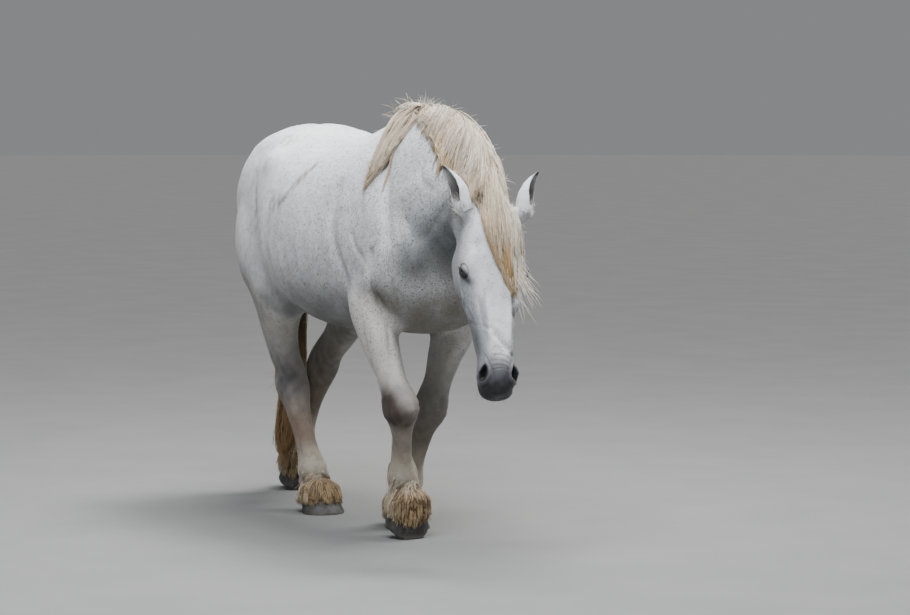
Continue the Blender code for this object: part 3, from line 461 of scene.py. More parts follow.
# Lines on both flanks as places (y, z), each with its width and its height; a fourth value is its ends.
FLANK_LINES = (
    # shoulder: its front edge, the blade's spine, behind the arm, before the arm, over the arm
    (((-0.32, 1.50), (-0.43, 1.40), (-0.51, 1.27), (-0.57, 1.13)), 0.032, -0.014),
    (((-0.22, 1.50), (-0.33, 1.36), (-0.44, 1.22)), 0.022, 0.004),
    (((-0.12, 1.40), (-0.14, 1.22), (-0.22, 1.05), (-0.30, 0.95)), 0.030, -0.013),
    (((-0.47, 1.14), (-0.465, 1.04), (-0.462, 0.94)), 0.017, -0.016),
    (((-0.28, 1.20), (-0.36, 1.12), (-0.44, 1.08)), 0.016, -0.005),
    # flank: its fold, and the swell before it
    (((0.60, 1.42), (0.565, 1.32), (0.50, 1.18), (0.465, 1.06), (0.45, 0.96)), 0.034, -0.013, 0.4),
    (((0.37, 1.28), (0.40, 1.12), (0.43, 0.97)), 0.035, 0.006),
    # thigh: between the hamstrings
    (((0.98, 1.32), (0.93, 1.14), (0.86, 0.97), (0.79, 0.84)), 0.016, -0.006),
    (((0.78, 1.30), (0.75, 1.14), (0.70, 0.98)), 0.020, -0.004),
    # neck: its vein, the long muscle above it, below the crest
    (((-0.98, 1.42), (-0.86, 1.30), (-0.72, 1.20), (-0.63, 1.10)), 0.020, -0.007),
    (((-0.92, 1.46), (-0.78, 1.42), (-0.64, 1.36), (-0.52, 1.30)), 0.028, 0.004),
    (((-0.97, 1.53), (-0.84, 1.58), (-0.66, 1.60), (-0.50, 1.56)), 0.018, -0.005),
)
FLANK_DENTS = (
    ((-0.475, 0.94), 0.034, -0.015),  # pocket above the elbow
    ((0.47, 1.43), 0.055, 0.010),  # point of the hip
)


def sculpt_body(s):
    for side in (LEFT, RIGHT):
        flank = lambda line: [s.flank(side, y, z) for y, z in line]
        for line, *shape in FLANK_LINES:
            s.stroke(flank(line), *shape)
        for place, width, height in FLANK_DENTS:
            s.dent(s.flank(side, *place), width, height)
        for k in range(6):  # ribs
            y = -0.02 + 0.075 * k
            s.stroke(flank(((y, 1.30), (y + 0.02, 1.15), (y + 0.01, 0.98))), width=0.017, height=0.0022)
        for k in range(5):  # folds where the breast meets the arm
            down, inward = 0.05 + 0.028 * k, 0.020 + 0.022 * k
            fold = ((0.215, 0.985 - down * 0.7), (0.16, 0.93 - down), (0.12, 0.90 - down))
            s.stroke([s.front(side * (x - inward), z) for x, z in fold], width=0.008, height=-0.0045)
        for k in range(3):  # folds of the throat
            fold = ((-0.985 + 0.035 * k, 1.36), (-0.965 + 0.035 * k, 1.26), (-0.955 + 0.03 * k, 1.20))
            s.stroke(flank(fold), width=0.008, height=-0.004)
    breast_line = [s.front(0, z) for z in (1.10, 1.00, 0.92, 0.84)]
    back_line = [s.top(0, y) for y in (0.06, 0.30, 0.60, 0.92)]
    s.stroke(breast_line, width=0.024, height=-0.020)
    s.stroke(back_line, width=0.022, height=-0.007)
    s.settle()


def axis_of(node):
    """The middle of a leg's top and of its bottom."""
    points = node_points(node)
    low, high = points[:, 2].min(), points[:, 2].max()
    top, bottom = points[points[:, 2] > high - 0.02], points[points[:, 2] < low + 0.02]
    return (top.min(axis=0) + top.max(axis=0)) / 2, (bottom.min(axis=0) + bottom.max(axis=0)) / 2


def outward(side, degrees):
    """A level direction: 0 looks forward, 90 outward."""
    angle = math.radians(degrees)
    return np.array((math.sin(angle) * side, -math.cos(angle), 0))


def sculpt_cannon(s, side, top, bottom):
    """Grooves between bone and sinews, and the sinews' ridges."""
    way = unit(bottom - top)
    for degrees, height in ((118, -0.006), (-118, -0.006), (150, 0.003), (-150, 0.003)):
        out = outward(side, degrees)
        out = unit(out - way * (out @ way))
        line = [s.cast(top + (bottom - top) * share + out * 0.09, -out) for share in (0.0, 0.25, 0.5, 0.72)]
        s.stroke(line, width=0.010, height=height)


def sculpt_knee(s, side, knee, way, rows):
    """Swells at the sides of a knee or hock, and rows of small bones in front."""
    for degrees in (70, -70):
        out = outward(side, degrees)
        line = [s.cast(knee + out * 0.1 + way * t, -out) for t in (-0.045, 0.0, 0.045)]
        s.stroke(line, width=0.022, height=0.004)
    for height in rows:
        outs = [outward(side, degrees) for degrees in (-60, -30, 0, 30, 60)]
        s.stroke([s.cast(knee + out * 0.12 + way * height, -out) for out in outs], width=0.006, height=-0.003)


def sculpt_hock(s, knee, way):
    """Hollows before the hock's big sinew."""
    start, end = knee - way * 0.16 + np.array((0, 0.022, 0)), knee - way * 0.03 + np.array((0, 0.030, 0))
    for aside in (1, -1):
        out = np.array((aside, 0.15, 0))
        line = [s.cast(place + out * 0.14, -out) for place in (start, (start + end) / 2, end)]
        s.stroke(line, width=0.018, height=-0.010)


def sculpt_forearm(s, side, knee, way):
    """Grooves between the muscles of the forearm."""
    for degrees, height in ((35, -0.005), (115, -0.005), (-90, -0.003)):
        out = outward(side, degrees)
        line = [s.cast(knee - way * t + out * 0.25, -out) for t in (0.08, 0.18, 0.28, 0.36)]
        s.stroke(line, width=0.013, height=height)


def sculpt_legs(s):
    for fetlock, coronet in PASTERNS.values():
        s.height += near(s.points, fetlock, 0.062) * 0.009
        s.height -= near(s.points, fetlock + (coronet - fetlock) * 0.45, 0.035) * 0.003
    for limb in LIMBS:
        kind, name = limb.split("_")
        side = SIDES[name]
        top, bottom = axis_of(f"{kind}leg_lower_{name}")
        way = unit(bottom - top)
        knee = top - way * 0.05
        sculpt_cannon(s, side, top, bottom)
        sculpt_knee(s, side, knee, way, (-0.012, 0.022) if kind == "fore" else (0.01,))
        if kind == "hind":
            sculpt_hock(s, knee, way)
        else:
            sculpt_forearm(s, side, knee, way)
    s.settle()


# Lines on both cheeks as places (out, down) in heads, each with its width and its height in metres.
CHEEK_LINES = (
    # the facial crest and below it, the edge of the jaw, before the cheek
    (((-0.150, 0.40), (-0.150, 0.47), (-0.140, 0.54), (-0.130, 0.60)), 0.010, 0.006),
    (((-0.185, 0.42), (-0.190, 0.50), (-0.180, 0.58)), 0.012, -0.004),
    (((-0.20, 0.13), (-0.30, 0.20), (-0.41, 0.30), (-0.39, 0.42)), 0.014, 0.004),
    (((-0.16, 0.46), (-0.26, 0.44), (-0.37, 0.44)), 0.013, -0.005),
    # veins
    (((-0.10, 0.42), (-0.14, 0.60), (-0.20, 0.72)), 0.004, 0.0020),
    (((-0.11, 0.50), (-0.08, 0.58), (-0.06, 0.68)), 0.004, 0.0022),
    (((-0.24, 0.40), (-0.21, 0.52), (-0.17, 0.62)), 0.004, 0.0016),
    # beside the bridge of the nose, and above the nostril
    (((-0.035, 0.48), (-0.035, 0.60), (-0.035, 0.72)), 0.014, -0.004),
    (((-0.085, 0.80), (-0.10, 0.74), (-0.12, 0.68)), 0.016, -0.003),
)


def sculpt_head(s):
    for side in (LEFT, RIGHT):
        for line, width, height in CHEEK_LINES:
            s.stroke([s.cheek(side, out, down) for out, down in line], width, height)
        bridge = ((0.05, 0.30), (0.062, 0.45), (0.055, 0.62), (0.045, 0.76))
        s.stroke([s.face(across * side, down) for across, down in bridge], width=0.010, height=0.003)
        s.dent(s.face(0.100 * side, 0.225), width=0.022, height=-0.007)  # hollow above the eye
    for k in range(6):  # wrinkles over the nose
        down = 0.755 + 0.021 * k + 0.006 * math.sin(5.0 * k)
        half, lean = 0.050 + 0.008 * math.sin(3.0 * k), 0.008 * math.sin(7.0 * k)
        line = [s.face(half * t, down + lean * t + 0.012 * t * t) for t in (-1, -0.6, -0.2, 0.2, 0.6, 1)]
        s.stroke(line, width=0.0040, height=-0.0011)
    s.settle()
    nostrils(s)
    mouth(s)
    s.settle()


NOSTRIL = np.array((0.079, -0.050, 0.875))  # in heads
NOSTRIL_OUT = unit(np.array((0.74, 0.62, 0.26)))  # the way it faces
NOSTRIL_LONG = np.array((0.20, -0.30, 0.93))  # its length, from top to bottom


def nostril_oval(heads, side):
    """Each point's place on a nostril's oval: 1 on the rim, less inside; and whether it is near it at all."""
    rel = heads * np.array((side, 1, 1)) - NOSTRIL
    long = unit(NOSTRIL_LONG - NOSTRIL_OUT * (NOSTRIL_LONG @ NOSTRIL_OUT))
    wide = np.cross(long, NOSTRIL_OUT)
    a, b, deep = rel @ long, rel @ wide, rel @ NOSTRIL_OUT
    b = b + 5.0 * a * a - 0.006  # a comma, bent round its outer side
    width = 0.0205 + 0.14 * (a + 0.01)
    return np.hypot(a / 0.043, b / np.maximum(width, 0.010)), np.abs(deep) < 0.06


def nostrils(s):
    """A deep hollow, a raised rim and a shallow groove round the rim."""
    heads = in_heads(s.points)
    for side in (LEFT, RIGHT):
        oval, close = nostril_oval(heads, side)
        s.height -= smoothstep(1 - oval, 0.0, 0.55) * 0.024 * close
        s.height += bell(oval, 1.24, 0.20) * close * 0.0042
        s.height -= bell(oval, 1.95, 0.32) * close * 0.0022


def mouth(s):
    """The line between the lips, the swell of the upper lip and the fold at the corner."""
    for side in (LEFT, RIGHT):
        lips = ((-0.176, 0.800), (-0.166, 0.850), (-0.152, 0.905), (-0.140, 0.950))
        corner = ((-0.186, 0.785), (-0.196, 0.765), (-0.204, 0.75))
        line = [s.cheek(side, out, down) for out, down in lips]
        line.append(s.cast(on_head(0.030 * side, -0.125, 1.2), -MUZZLE))
        line.append(s.cast(on_head(0, -0.122, 1.2), -MUZZLE))
        s.stroke(line, width=0.0050, height=-0.0085, ends=0.10)
        above = [place + np.array(FACE) * 0.012 for place in line]
        s.stroke(above, width=0.009, height=0.003, ends=0.2)
        s.stroke([s.cheek(side, out, down) for out, down in corner], width=0.007, height=-0.004)


# ---------------------------------------------------------------- eyes and lids


def eye_frame(side):
    """The eye's centre, the way it looks, along its slit to the front corner, and up the lid."""
    centre = middle("eye_left" if side == LEFT else "eye_right")
    look = (HEAD_LEFT * side * 0.86 + FACE * 0.46 + MUZZLE * 0.12).normalized()
    slit = MUZZLE * 0.80 + FACE * 0.40 - HEAD_LEFT * side * 0.25
    slit = (slit - look * slit.dot(look)).normalized()
    lid = slit.cross(look) * side
    if lid.dot(FACE) < 0:
        lid = -lid
    return centre, look, slit, lid


def lid_edge(angle):
    """The slit between half-closed lids, in eye radii; it tapers towards the front corner."""
    along, across = math.cos(angle), math.sin(angle)
    height = 0.40 if across > 0 else 0.26
    return 0.95 * along, height * across * (1 - 0.22 * along) - 0.13 + 0.10 * along


def lid_height(share, flat, angle, skin_height):
    """How far a lid stands out, in eye radii: folded over the eyeball, and down to the skin at its rim."""
    over_ball = max(1.10 - 0.50 * flat * flat, 0.15)
    to_skin = ease(share, 0.30, 0.92)
    height = over_ball * (1 - to_skin) + skin_height * to_skin
    upper = 1.0 if math.sin(angle) > -0.2 else 0.5
    for fold, depth in ((0.30, 0.060), (0.47, 0.045), (0.62, 0.030)):
        height -= upper * depth * math.exp(-(((share - fold) / 0.035) ** 2))
    return height


def eyelids(s, side):
    """Rings from the slit's edge out to the skin, over the eyeball."""
    centre, look, slit, lid = eye_frame(side)
    count, rows = 48, 18
    bm = bmesh.new()
    rings = []
    for j in range(rows):
        t = j / (rows - 1)
        spread = max(t - 0.06, 0) / 0.94
        ring = []
        for i in range(count):
            angle = 2 * math.pi * i / count
            inner, outer = lid_edge(angle), (1.75 * math.cos(angle), 1.60 * math.sin(angle) + 0.05)
            u, v = (a + (b - a) * spread for a, b in zip(inner, outer))
            flat = math.hypot(u, v)
            place = centre + (slit * u + lid * v) * EYE_RADIUS
            hit = s.tree.ray_cast(place + look * 0.08, -look)[0]
            skin_height = (hit - centre).dot(look) / EYE_RADIUS
            height = lid_height(t, flat, angle, skin_height)
            if j == 0:
                height = math.sqrt(max(1.02 - flat * flat, 0))
            if j == rows - 1:
                height = skin_height - 0.10
            ring.append(bm.verts.new(place + look * height * EYE_RADIUS))
        rings.append(ring)
    for a, b in zip(rings, rings[1:]):
        for i in range(count):
            bm.faces.new((a[i], a[(i + 1) % count], b[(i + 1) % count], b[i]))
    bmesh.ops.recalc_face_normals(bm, faces=bm.faces[:])
    bm.faces.ensure_lookup_table()
    if bm.faces[len(bm.faces) // 2].normal.dot(look) < 0:
        bmesh.ops.reverse_faces(bm, faces=bm.faces[:])
    return mesh_from("lids", bm)


def open_sockets(s):
    """Sinks the skin behind the lids, so that the eye shows in the slit."""
    for side in (LEFT, RIGHT):
        centre, look, slit, lid = (np.array(v) for v in eye_frame(side))
        away = s.points - centre
        u, v, w = away @ slit / EYE_RADIUS, away @ lid / EYE_RADIUS, away @ look
        sunk = smoothstep(-np.hypot(u / 1.35, (v - 0.05) / 1.25), -1.0, -0.80) * (w > -0.01)
        s.points -= look * 0.020 * sunk[:, None]
    put(s.mesh, s.points)


def eyeball(name, glassy):
    """An eye with a bulging front; its colours are kept by distance from the middle of the iris."""
    centre, look, slit, lid = eye_frame(SIDES[name])
    iris_radius, pupil_width, pupil_height, behind = 0.62, 0.34, 0.20, 3.0
    turned = Matrix((slit, lid, look)).transposed()
    bm = bmesh.new()
    bmesh.ops.create_uvsphere(bm, u_segments=48, v_segments=32, radius=1)
    iris = []
    for vertex in bm.verts:
        x, y, z = vertex.co
        off = math.hypot(x, y)
        bulge = 1 + 0.05 * max(0, 1 - (off / iris_radius) ** 2) * (z > 0)
        in_front = (off / iris_radius, math.hypot(x / pupil_width, y / pupil_height), 0.0)
        iris.append(in_front if z > 0 else (behind, behind, 0.0))
        vertex.co = centre + turned @ (Vector((x, y, z)) * EYE_RADIUS * bulge)
    mesh = mesh_from("eyeball", bm)
    rounded(mesh)
    set_colours(mesh, "iris", np.array(iris))
    obj = new_object("eyeball_" + name, mesh)
    unwrap(obj)
    finished(obj, glassy, "eye", "eye_" + name)


# ---------------------------------------------------------------- ears, hooves


def ear_mesh(node):
    obj = voxels(joined("ear", [welded(node)]), EAR_VOXEL)
    soften(obj.data, rounds=8, restore=6)
    mesh = fewer(obj, 0.16).data
    bpy.data.objects.remove(obj)
    return mesh


def hoof(limb, horn):
    """A horn capsule; its colours keep the height on it and the grain of the horn."""
    obj = voxels(joined("horn_" + limb, [welded("hoof_" + limb)]), HORN_VOXEL)
    mesh = obj.data
    soften(mesh, rounds=5, restore=4)
    points = places(mesh)
    height = (points[:, 2] - points[:, 2].min()) / (points[:, 2].max() - points[:, 2].min())
    grain = waves(points * np.array((1, 1, 0.12)), 0.035, 3)
    set_colours(mesh, "horn", np.stack([height, (grain + 1) / 2, np.zeros(len(points))], axis=1))
    rounded(mesh)
    unwrap(obj)
    finished(obj, horn, "horn", "hoof_" + limb)


# ---------------------------------------------------------------- where the marks of the coat lie


def ear_middles(name, slices=12):
    """The middle of an ear's cross-section at several heights: it lies in the hollow."""
    points = node_points("ear_" + name)
    z = points[:, 2]
    edges = np.linspace(z.min(), z.max(), slices + 1)
    rows = [points[(z >= a - 0.004) & (z <= b + 0.004)] for a, b in zip(edges, edges[1:])]
    return (edges[1:] + edges[:-1]) / 2, np.array([(row.min(axis=0) + row.max(axis=0)) / 2 for row in rows])


EAR_MIDDLES = {name: ear_middles(name) for name in SIDES}


def ear_axis(name, heights):
    """The middle of an ear at each of some heights."""
    levels, centres = EAR_MIDDLES[name]
    return np.stack([np.interp(heights, levels, centres[:, k]) for k in range(3)], axis=-1)


# Middle of each fetlock and of the coronet below it.
PASTERNS = {
    "fore_right": (np.array((-0.087, -0.364, 0.246)), np.array((-0.079, -0.401, 0.134))),
    "fore_left": (np.array((0.082, -0.052, 0.169)), np.array((0.030, -0.121, 0.074))),
    "hind_right": (np.array((-0.102, 0.497, 0.167)), np.array((-0.104, 0.424, 0.074))),
    "hind_left": (np.array((0.144, 1.204, 0.219)), np.array((0.104, 1.153, 0.113))),
}


def along_pastern(points, fetlock, coronet):
    """0 at the fetlock, 1 at the coronet."""
    way = coronet - fetlock
    return (points - fetlock) @ way / (way @ way)


# Marks on the legs: place, radius, colour and how strong.
LEG_MARKS = (
    ((-0.228, -0.515, 0.535), 0.072, (54, 44, 38), 1.35),  # right knee
    ((-0.200, -0.530, 0.490), 0.056, (68, 57, 51), 1.20),
    ((-0.150, -0.540, 0.468), 0.042, (92, 80, 74), 0.90),
    ((-0.150, -0.560, 0.590), 0.050, (168, 160, 158), 0.60),
    ((-0.150, -0.430, 0.400), 0.045, (120, 110, 96), 0.60),  # right cannon
    ((-0.110, -0.370, 0.310), 0.060, (160, 146, 124), 0.60),
    ((0.150, -0.230, 0.680), 0.160, (150, 150, 148), 0.70),  # left fore leg: painted shade
    ((0.123, -0.150, 0.470), 0.150, (104, 102, 98), 0.95),
    ((0.100, -0.090, 0.300), 0.150, (104, 98, 90), 0.90),
    ((-0.210, 0.600, 0.640), 0.100, (120, 122, 126), 0.75),  # right hock
    ((-0.175, 0.590, 0.520), 0.100, (88, 88, 92), 0.90),
    ((-0.150, 0.540, 0.350), 0.090, (140, 118, 104), 0.80),
    ((-0.290, 0.620, 0.860), 0.140, (128, 128, 124), 0.65),
    ((0.176, 1.030, 0.560), 0.150, (88, 80, 74), 0.95),  # left hind leg
    ((0.150, 1.120, 0.330), 0.140, (106, 90, 76), 0.90),
    ((0.180, 0.780, 0.760), 0.200, (108, 104, 98), 0.80),
)

# Pale grey smudges on the back and the right side: place and radius.
SMUDGES = (
    ((-0.20, 0.50, 1.52), 0.05),
    ((-0.12, 0.20, 1.55), 0.04),
    ((0.22, 0.40, 1.50), 0.06),
    ((-0.30, -0.155, 1.16), 0.05),
)
THROAT = ((0, -0.71, 1.11), (0, -0.79, 1.17), (0, -0.90, 1.25))
FLANK_FOLD = ((0.30, 0.62, 1.43), (0.335, 0.575, 1.31), (0.355, 0.52, 1.18), (0.36, 0.47, 1.08))
STREAK = ((-0.353, 0.245, 1.286), (-0.337, 0.201, 1.319), (-0.305, 0.165, 1.372), (-0.253, 0.113, 1.436))
# The shoulder's front edge: heights, and how far back it is at each.
SHOULDER_EDGE = ((1.05, 1.12, 1.197, 1.268, 1.34), (-0.735, -0.708, -0.653, -0.594, -0.560))
SIDE_ON = np.array((0, 1, 1))  # leaves the width out

WHITE, PALE, SLATE = (232, 233, 238), (206, 209, 215), (62, 64, 72)
# Bare dark skin, soot black in the nostrils, and a brownish colour painted as dirt on the flank and as dirt
# and shade on the breast.
DARK_SKIN, SOOT, DIRT_AND_SHADE = (40, 41, 47), (16, 16, 19), (122, 114, 98)


class Regions:
    """Which part of the body each point of the skin belongs to, fading from one to the next."""

    def __init__(self):
        points, triangles, self.owner = [], [], []
        for node in FLESH + EARS:
            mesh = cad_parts[node].data
            mesh.calc_loop_triangles()
            start = len(points)
            points += [v.co for v in mesh.vertices]
            triangles += [[start + i for i in t.vertices] for t in mesh.loop_triangles]
            self.owner += [node] * len(mesh.loop_triangles)
        self.tree = BVHTree.FromPolygons(points, triangles)

    def of(self, mesh, rounds=14):
        named = [self.owner[self.tree.find_nearest(v.co)[2]] for v in mesh.vertices]
        kinds = {"trunk": 0, "neck": 1, "head": 2, "ear": 3, "foreleg": 4, "hindleg": 4}
        shares = np.zeros((len(named), 5))
        for i, node in enumerate(named):
            shares[i, kinds[node.split("_")[0]]] = 1
        return Net(mesh).spread(shares, rounds)


class Coat:
    """The coat's colour at some points of the skin, painted in layers."""

    def __init__(self, points, normals, shares):
        self.points, self.normals = points, normals
        self.heads = in_heads(points)
        self.trunk, self.neck, self.head, self.ear, self.leg = shares.T
        self.tone = np.tile(shade(*WHITE), (len(points), 1))
        self.broad = waves(points, 0.42, 1)
        self.patchy = waves(points, 0.13, 2)
        self.fine = waves(points, 0.045, 3)
        self.bare = np.zeros(len(points))

    def paint(self, colour, amount):
        self.tone = blend(self.tone, shade(*colour), np.clip(amount, 0, 1)[:, None])


def paint_trunk(c):
    """Greyer on the shoulder; painted shade low down, under the belly, in the throat, before the shoulder,
    above the elbows and in the flank's fold; dirt and painted shade before the arm, and dirt on the flank.
    """
    y, z = c.points[:, 1], c.points[:, 2]
    c.paint(PALE, 0.40 + 0.25 * c.broad + 0.10 * c.patchy)  # broad patches
    c.paint((150, 152, 154), c.trunk * low_down(c) * (0.62 + 0.2 * c.patchy))  # painted shade on the lower sides
    c.paint((50, 49, 38), smoothstep(-z, -1.00, -0.78) * c.trunk * (0.80 + 0.12 * c.patchy))  # painted shade under the belly
    c.paint((160, 164, 170), (c.trunk + c.neck) * shoulder(c) * (0.12 + 0.06 * c.patchy))
    throat = smoothstep(-from_line(c.points * SIDE_ON, curve(THROAT))[0], -0.17, -0.02)
    c.paint((92, 99, 102), throat * (c.neck + c.trunk) * (0.84 + 0.05 * c.fine))  # painted shade under the throat
    ahead = np.interp(z, *SHOULDER_EDGE) - y
    hollow = smoothstep(ahead, -0.005, 0.030) * smoothstep(-ahead, -0.17, -0.03)
    hollow = hollow * smoothstep(z, 1.02, 1.12) * smoothstep(-z, -1.36, -1.20)
    c.paint((104, 110, 114), hollow * (c.neck + c.trunk) * 0.62)  # painted shade in the hollow before the shoulder
    # Dirt and painted shade on the breast, before the arm.
    c.paint(DIRT_AND_SHADE, breast(c) * (0.60 + 0.2 * c.patchy + 0.1 * c.fine))
    for side in (LEFT, RIGHT):
        # Painted shade in the pocket above each elbow.
        c.paint((92, 82, 64), near(c.points, (0.255 * side, -0.50, 0.945), 0.062) * (0.75 + 0.25 * c.fine))
        # Painted shade along the fold of the flank.
        band, along = from_line(c.points, curve([(x * side, y, z) for x, y, z in FLANK_FOLD]))
        c.paint((146, 146, 146), bell(band, 0, 0.036) * np.sin(math.pi * along) * (0.50 + 0.35 * c.fine))
    streak = from_line(c.points, curve(STREAK))[0]
    c.paint((128, 118, 106), bell(streak, 0, 0.017) * np.clip(0.60 + 0.5 * c.fine, 0, 1))  # on the flank
    c.paint(DIRT_AND_SHADE, near(c.points, (-0.36, 0.30, 1.27), 0.045) * np.clip(0.35 + 0.5 * c.fine, 0, 1))
    for centre, radius in SMUDGES:
        c.paint((168, 166, 162), near(c.points, centre, radius) * np.clip(0.35 + 0.5 * c.fine, 0, 1))


def low_down(c):
    return smoothstep(-c.points[:, 2], -1.22, -0.80)


def shoulder(c):
    return near(c.points * SIDE_ON, (0, -0.42, 1.18), 0.34)


def breast(c):
    return near(c.points * np.array((0.7, 1, 1)), (0, -0.60, 0.88), 0.22) * (1 - c.leg)


def low_leg(c):
    return smoothstep(-c.points[:, 2], -0.78, -0.30) * c.leg


def paint_legs(c):
    """Pale above, taupe and slate about the joints, tan at the feet; painted shade on the inner sides, inside
    the left arm, down the left fore leg and in the crease of each pastern.
    """
    x, y, z = c.points.T
    c.paint((214, 205, 194), c.leg * 0.55)  # cream all over
    hind = smoothstep(y, 0.0, 0.2)
    c.paint((142, 139, 132), c.leg * hind * (0.60 + 0.15 * c.patchy))  # hind legs
    # Painted shade on the inner sides of the legs, which face each other.
    inward = smoothstep(c.normals[:, 0] * -np.sign(x), 0.0, 0.7)
    c.paint((104, 100, 84), c.leg * inward * smoothstep(-z, -1.0, -0.75) * 0.55)
    shaded_left_arm = smoothstep(y, -0.35, -0.15) * smoothstep(x, 0.0, 0.06) * (1 - hind)
    c.paint((98, 95, 80), c.leg * shaded_left_arm * 0.62)  # painted shade inside the left arm
    c.paint((150, 136, 122), low_leg(c) * (0.80 + 0.15 * c.patchy))  # taupe below
    for joint, radius, colour, amount in LEG_MARKS:
        c.paint(colour, near(c.points, joint, radius) * (amount + 0.25 * c.fine + 0.12 * c.patchy) * c.leg)
    for fetlock, coronet in PASTERNS.values():
        at = along_pastern(c.points, fetlock, coronet)
        close = near(c.points, fetlock, 0.17) * c.leg
        c.paint((204, 196, 180), close * smoothstep(at, -0.9, -0.2) * 0.7)  # pale fetlock
        crease = bell(at, 0.42, 0.24) * near(c.points, (fetlock + coronet) / 2, 0.11) * c.leg
        c.paint((92, 84, 64), crease * (0.75 + 0.2 * c.fine))  # painted shade in the crease of the pastern
        c.paint((170, 142, 104), close * smoothstep(at, 0.65, 0.9))  # tan over the hoof


def paint_head(c):
    """A painted highlight down the front of the face, painted shade on the jowls and cheeks, grey sides to
    the nose, and a dark bare muzzle.
    """
    across, out, down = c.heads.T
    # Painted highlight down the front of the face.
    c.paint(WHITE, c.head * bell(across, 0, 0.085) * smoothstep(out, -0.10, -0.04) * 0.75)
    c.paint((136, 140, 146), c.head * smoothstep(-out, 0.05, 0.24) * (0.66 + 0.10 * c.patchy))  # painted shade on the jowl
    sideways = smoothstep(np.abs(c.normals @ np.array(HEAD_LEFT)), 0.45, 0.90)
    c.paint((132, 136, 142), c.head * sideways * smoothstep(down, 0.28, 0.42) * 0.50)  # painted shade on the cheeks where they face sideways
    c.paint((84, 86, 92), c.head * smoothstep(down, 0.42, 0.72) * smoothstep(-out, 0.01, 0.11) * 0.86)
    edge = down + 0.020 * c.patchy + 0.012 * c.fine
    c.paint((120, 121, 128), c.head * smoothstep(edge, 0.755, 0.84) * 0.75)  # nose, in three steps
    c.paint((66, 67, 74), c.head * smoothstep(edge, 0.820, 0.885) * 0.9)
    c.paint((34, 34, 39), c.head * smoothstep(edge, 0.880, 0.945) * 0.95)
    c.paint((112, 113, 120), c.head * near(c.heads, (0.0, -0.02, 0.872), 0.030) * 0.5)  # between the nostrils
    lip = near(c.heads, (0.0, -0.10, 0.975), 0.022)
    c.paint((120, 120, 126), c.head * lip * np.clip(0.3 + 0.6 * c.fine, 0, 1))  # upper lip
    c.bare = c.head * smoothstep(down, 0.86, 0.93)
    for side in (LEFT, RIGHT):
        paint_eye(c, side)
        paint_nostril(c, side)
        c.paint(SLATE, near(c.points, on_head(0.150 * side, -0.145, 0.50), 0.020) * 0.7 * c.head)


def paint_eye(c, side):
    """Slate round the eye, darkest and bare at the lids and below the front corner."""
    centre, look, slit, lid = (np.array(v) for v in eye_frame(side))
    away = c.points - centre
    u, v = away @ slit, away @ lid
    facing = away @ look > -0.02
    round_eye = bell(np.hypot(u / 1.5, v + 0.004), 0, 0.026) * facing
    tear = bell(np.hypot((u - 0.040) / 1.8, v + 0.002), 0, 0.016) * facing
    close = bell(np.hypot(u / 2.0, v + 0.004), 0, 0.0150) * facing
    c.paint((92, 94, 101), round_eye * 0.88)
    c.paint(SLATE, tear * 0.9)
    c.paint(DARK_SKIN, close * 2.0)
    c.bare = np.maximum(c.bare, np.clip(close * 1.5, 0, 1))


def paint_nostril(c, side):
    """A paler rim, and a bare black hollow."""
    oval, near_it = nostril_oval(c.heads, side)
    c.paint((104, 106, 114), c.head * bell(oval, 1.35, 0.30) * near_it * 0.55)
    hollow = c.head * smoothstep(-oval, -1.12, -0.85) * near_it
    c.paint(SOOT, hollow)
    c.bare = np.maximum(c.bare, hollow)


def paint_ears(c):
    """Dark inside, most of all near the base, and at the tip."""
    x, z = c.points[:, 0], c.points[:, 2]
    for name, side in SIDES.items():
        levels = EAR_MIDDLES[name][0]
        mine = c.ear * (np.sign(x - POLL.x) == side)
        inner = mine * smoothstep(np.sum(unit(ear_axis(name, z) - c.points) * c.normals, axis=1), 0.05, 0.50)
        along = (z - levels[0]) / (levels[-1] - levels[0])
        c.paint((150, 146, 143), inner * 0.60)  # inside
        c.paint((70, 64, 62), inner * bell(along, 0.50, 0.26) * 0.85)  # depth of the hollow
        c.paint((52, 50, 52), mine * smoothstep(along, 0.90, 0.98) * 0.9)  # tip
        c.paint((158, 158, 160), mine * (1 - inner) * (0.25 + 0.15 * c.fine))  # outside


def thick_specks(c):
    """How thickly the specks lie: most on the cheek, the shoulder and the neck, few on the rump."""
    y, z = c.points[:, 1], c.points[:, 2]
    out, down = c.heads[:, 1], c.heads[:, 2]
    specks = shoulder(c) * 1.0 + c.neck * 0.8 + breast(c) * 0.7 + c.trunk * 0.30
    specks = np.clip(specks + c.leg * 0.28 * smoothstep(z, 0.55, 0.95), 0, 1)
    cheek = c.head * smoothstep(-out, 0.02, 0.10) * smoothstep(-down, -0.80, -0.40)
    specks = np.clip(specks + cheek * 1.1 + c.head * 0.25 * (1 - c.bare), 0, 1) * (1 - c.bare)
    return specks * (1 - 0.75 * c.trunk * smoothstep(y, 0.1, 0.5))


def coat_layers(points, normals, shares):
    """The coat's tone; its marks, which are specks, bare skin and dirt; and the kinds leg, head and neck."""
    c = Coat(points, normals, shares)
    paint_trunk(c)
    paint_legs(c)
    paint_head(c)
    paint_ears(c)
    dirt = np.clip(breast(c) + low_leg(c) * 0.8 + low_down(c) * c.trunk * 0.5 + 0.15, 0, 1)
    return {
        "tone": c.tone,
        "marks": np.stack([thick_specks(c), c.bare, dirt], axis=1),
        "kinds": np.stack([c.leg, c.head + c.ear, c.neck], axis=1),
    }


# ---------------------------------------------------------------- materials


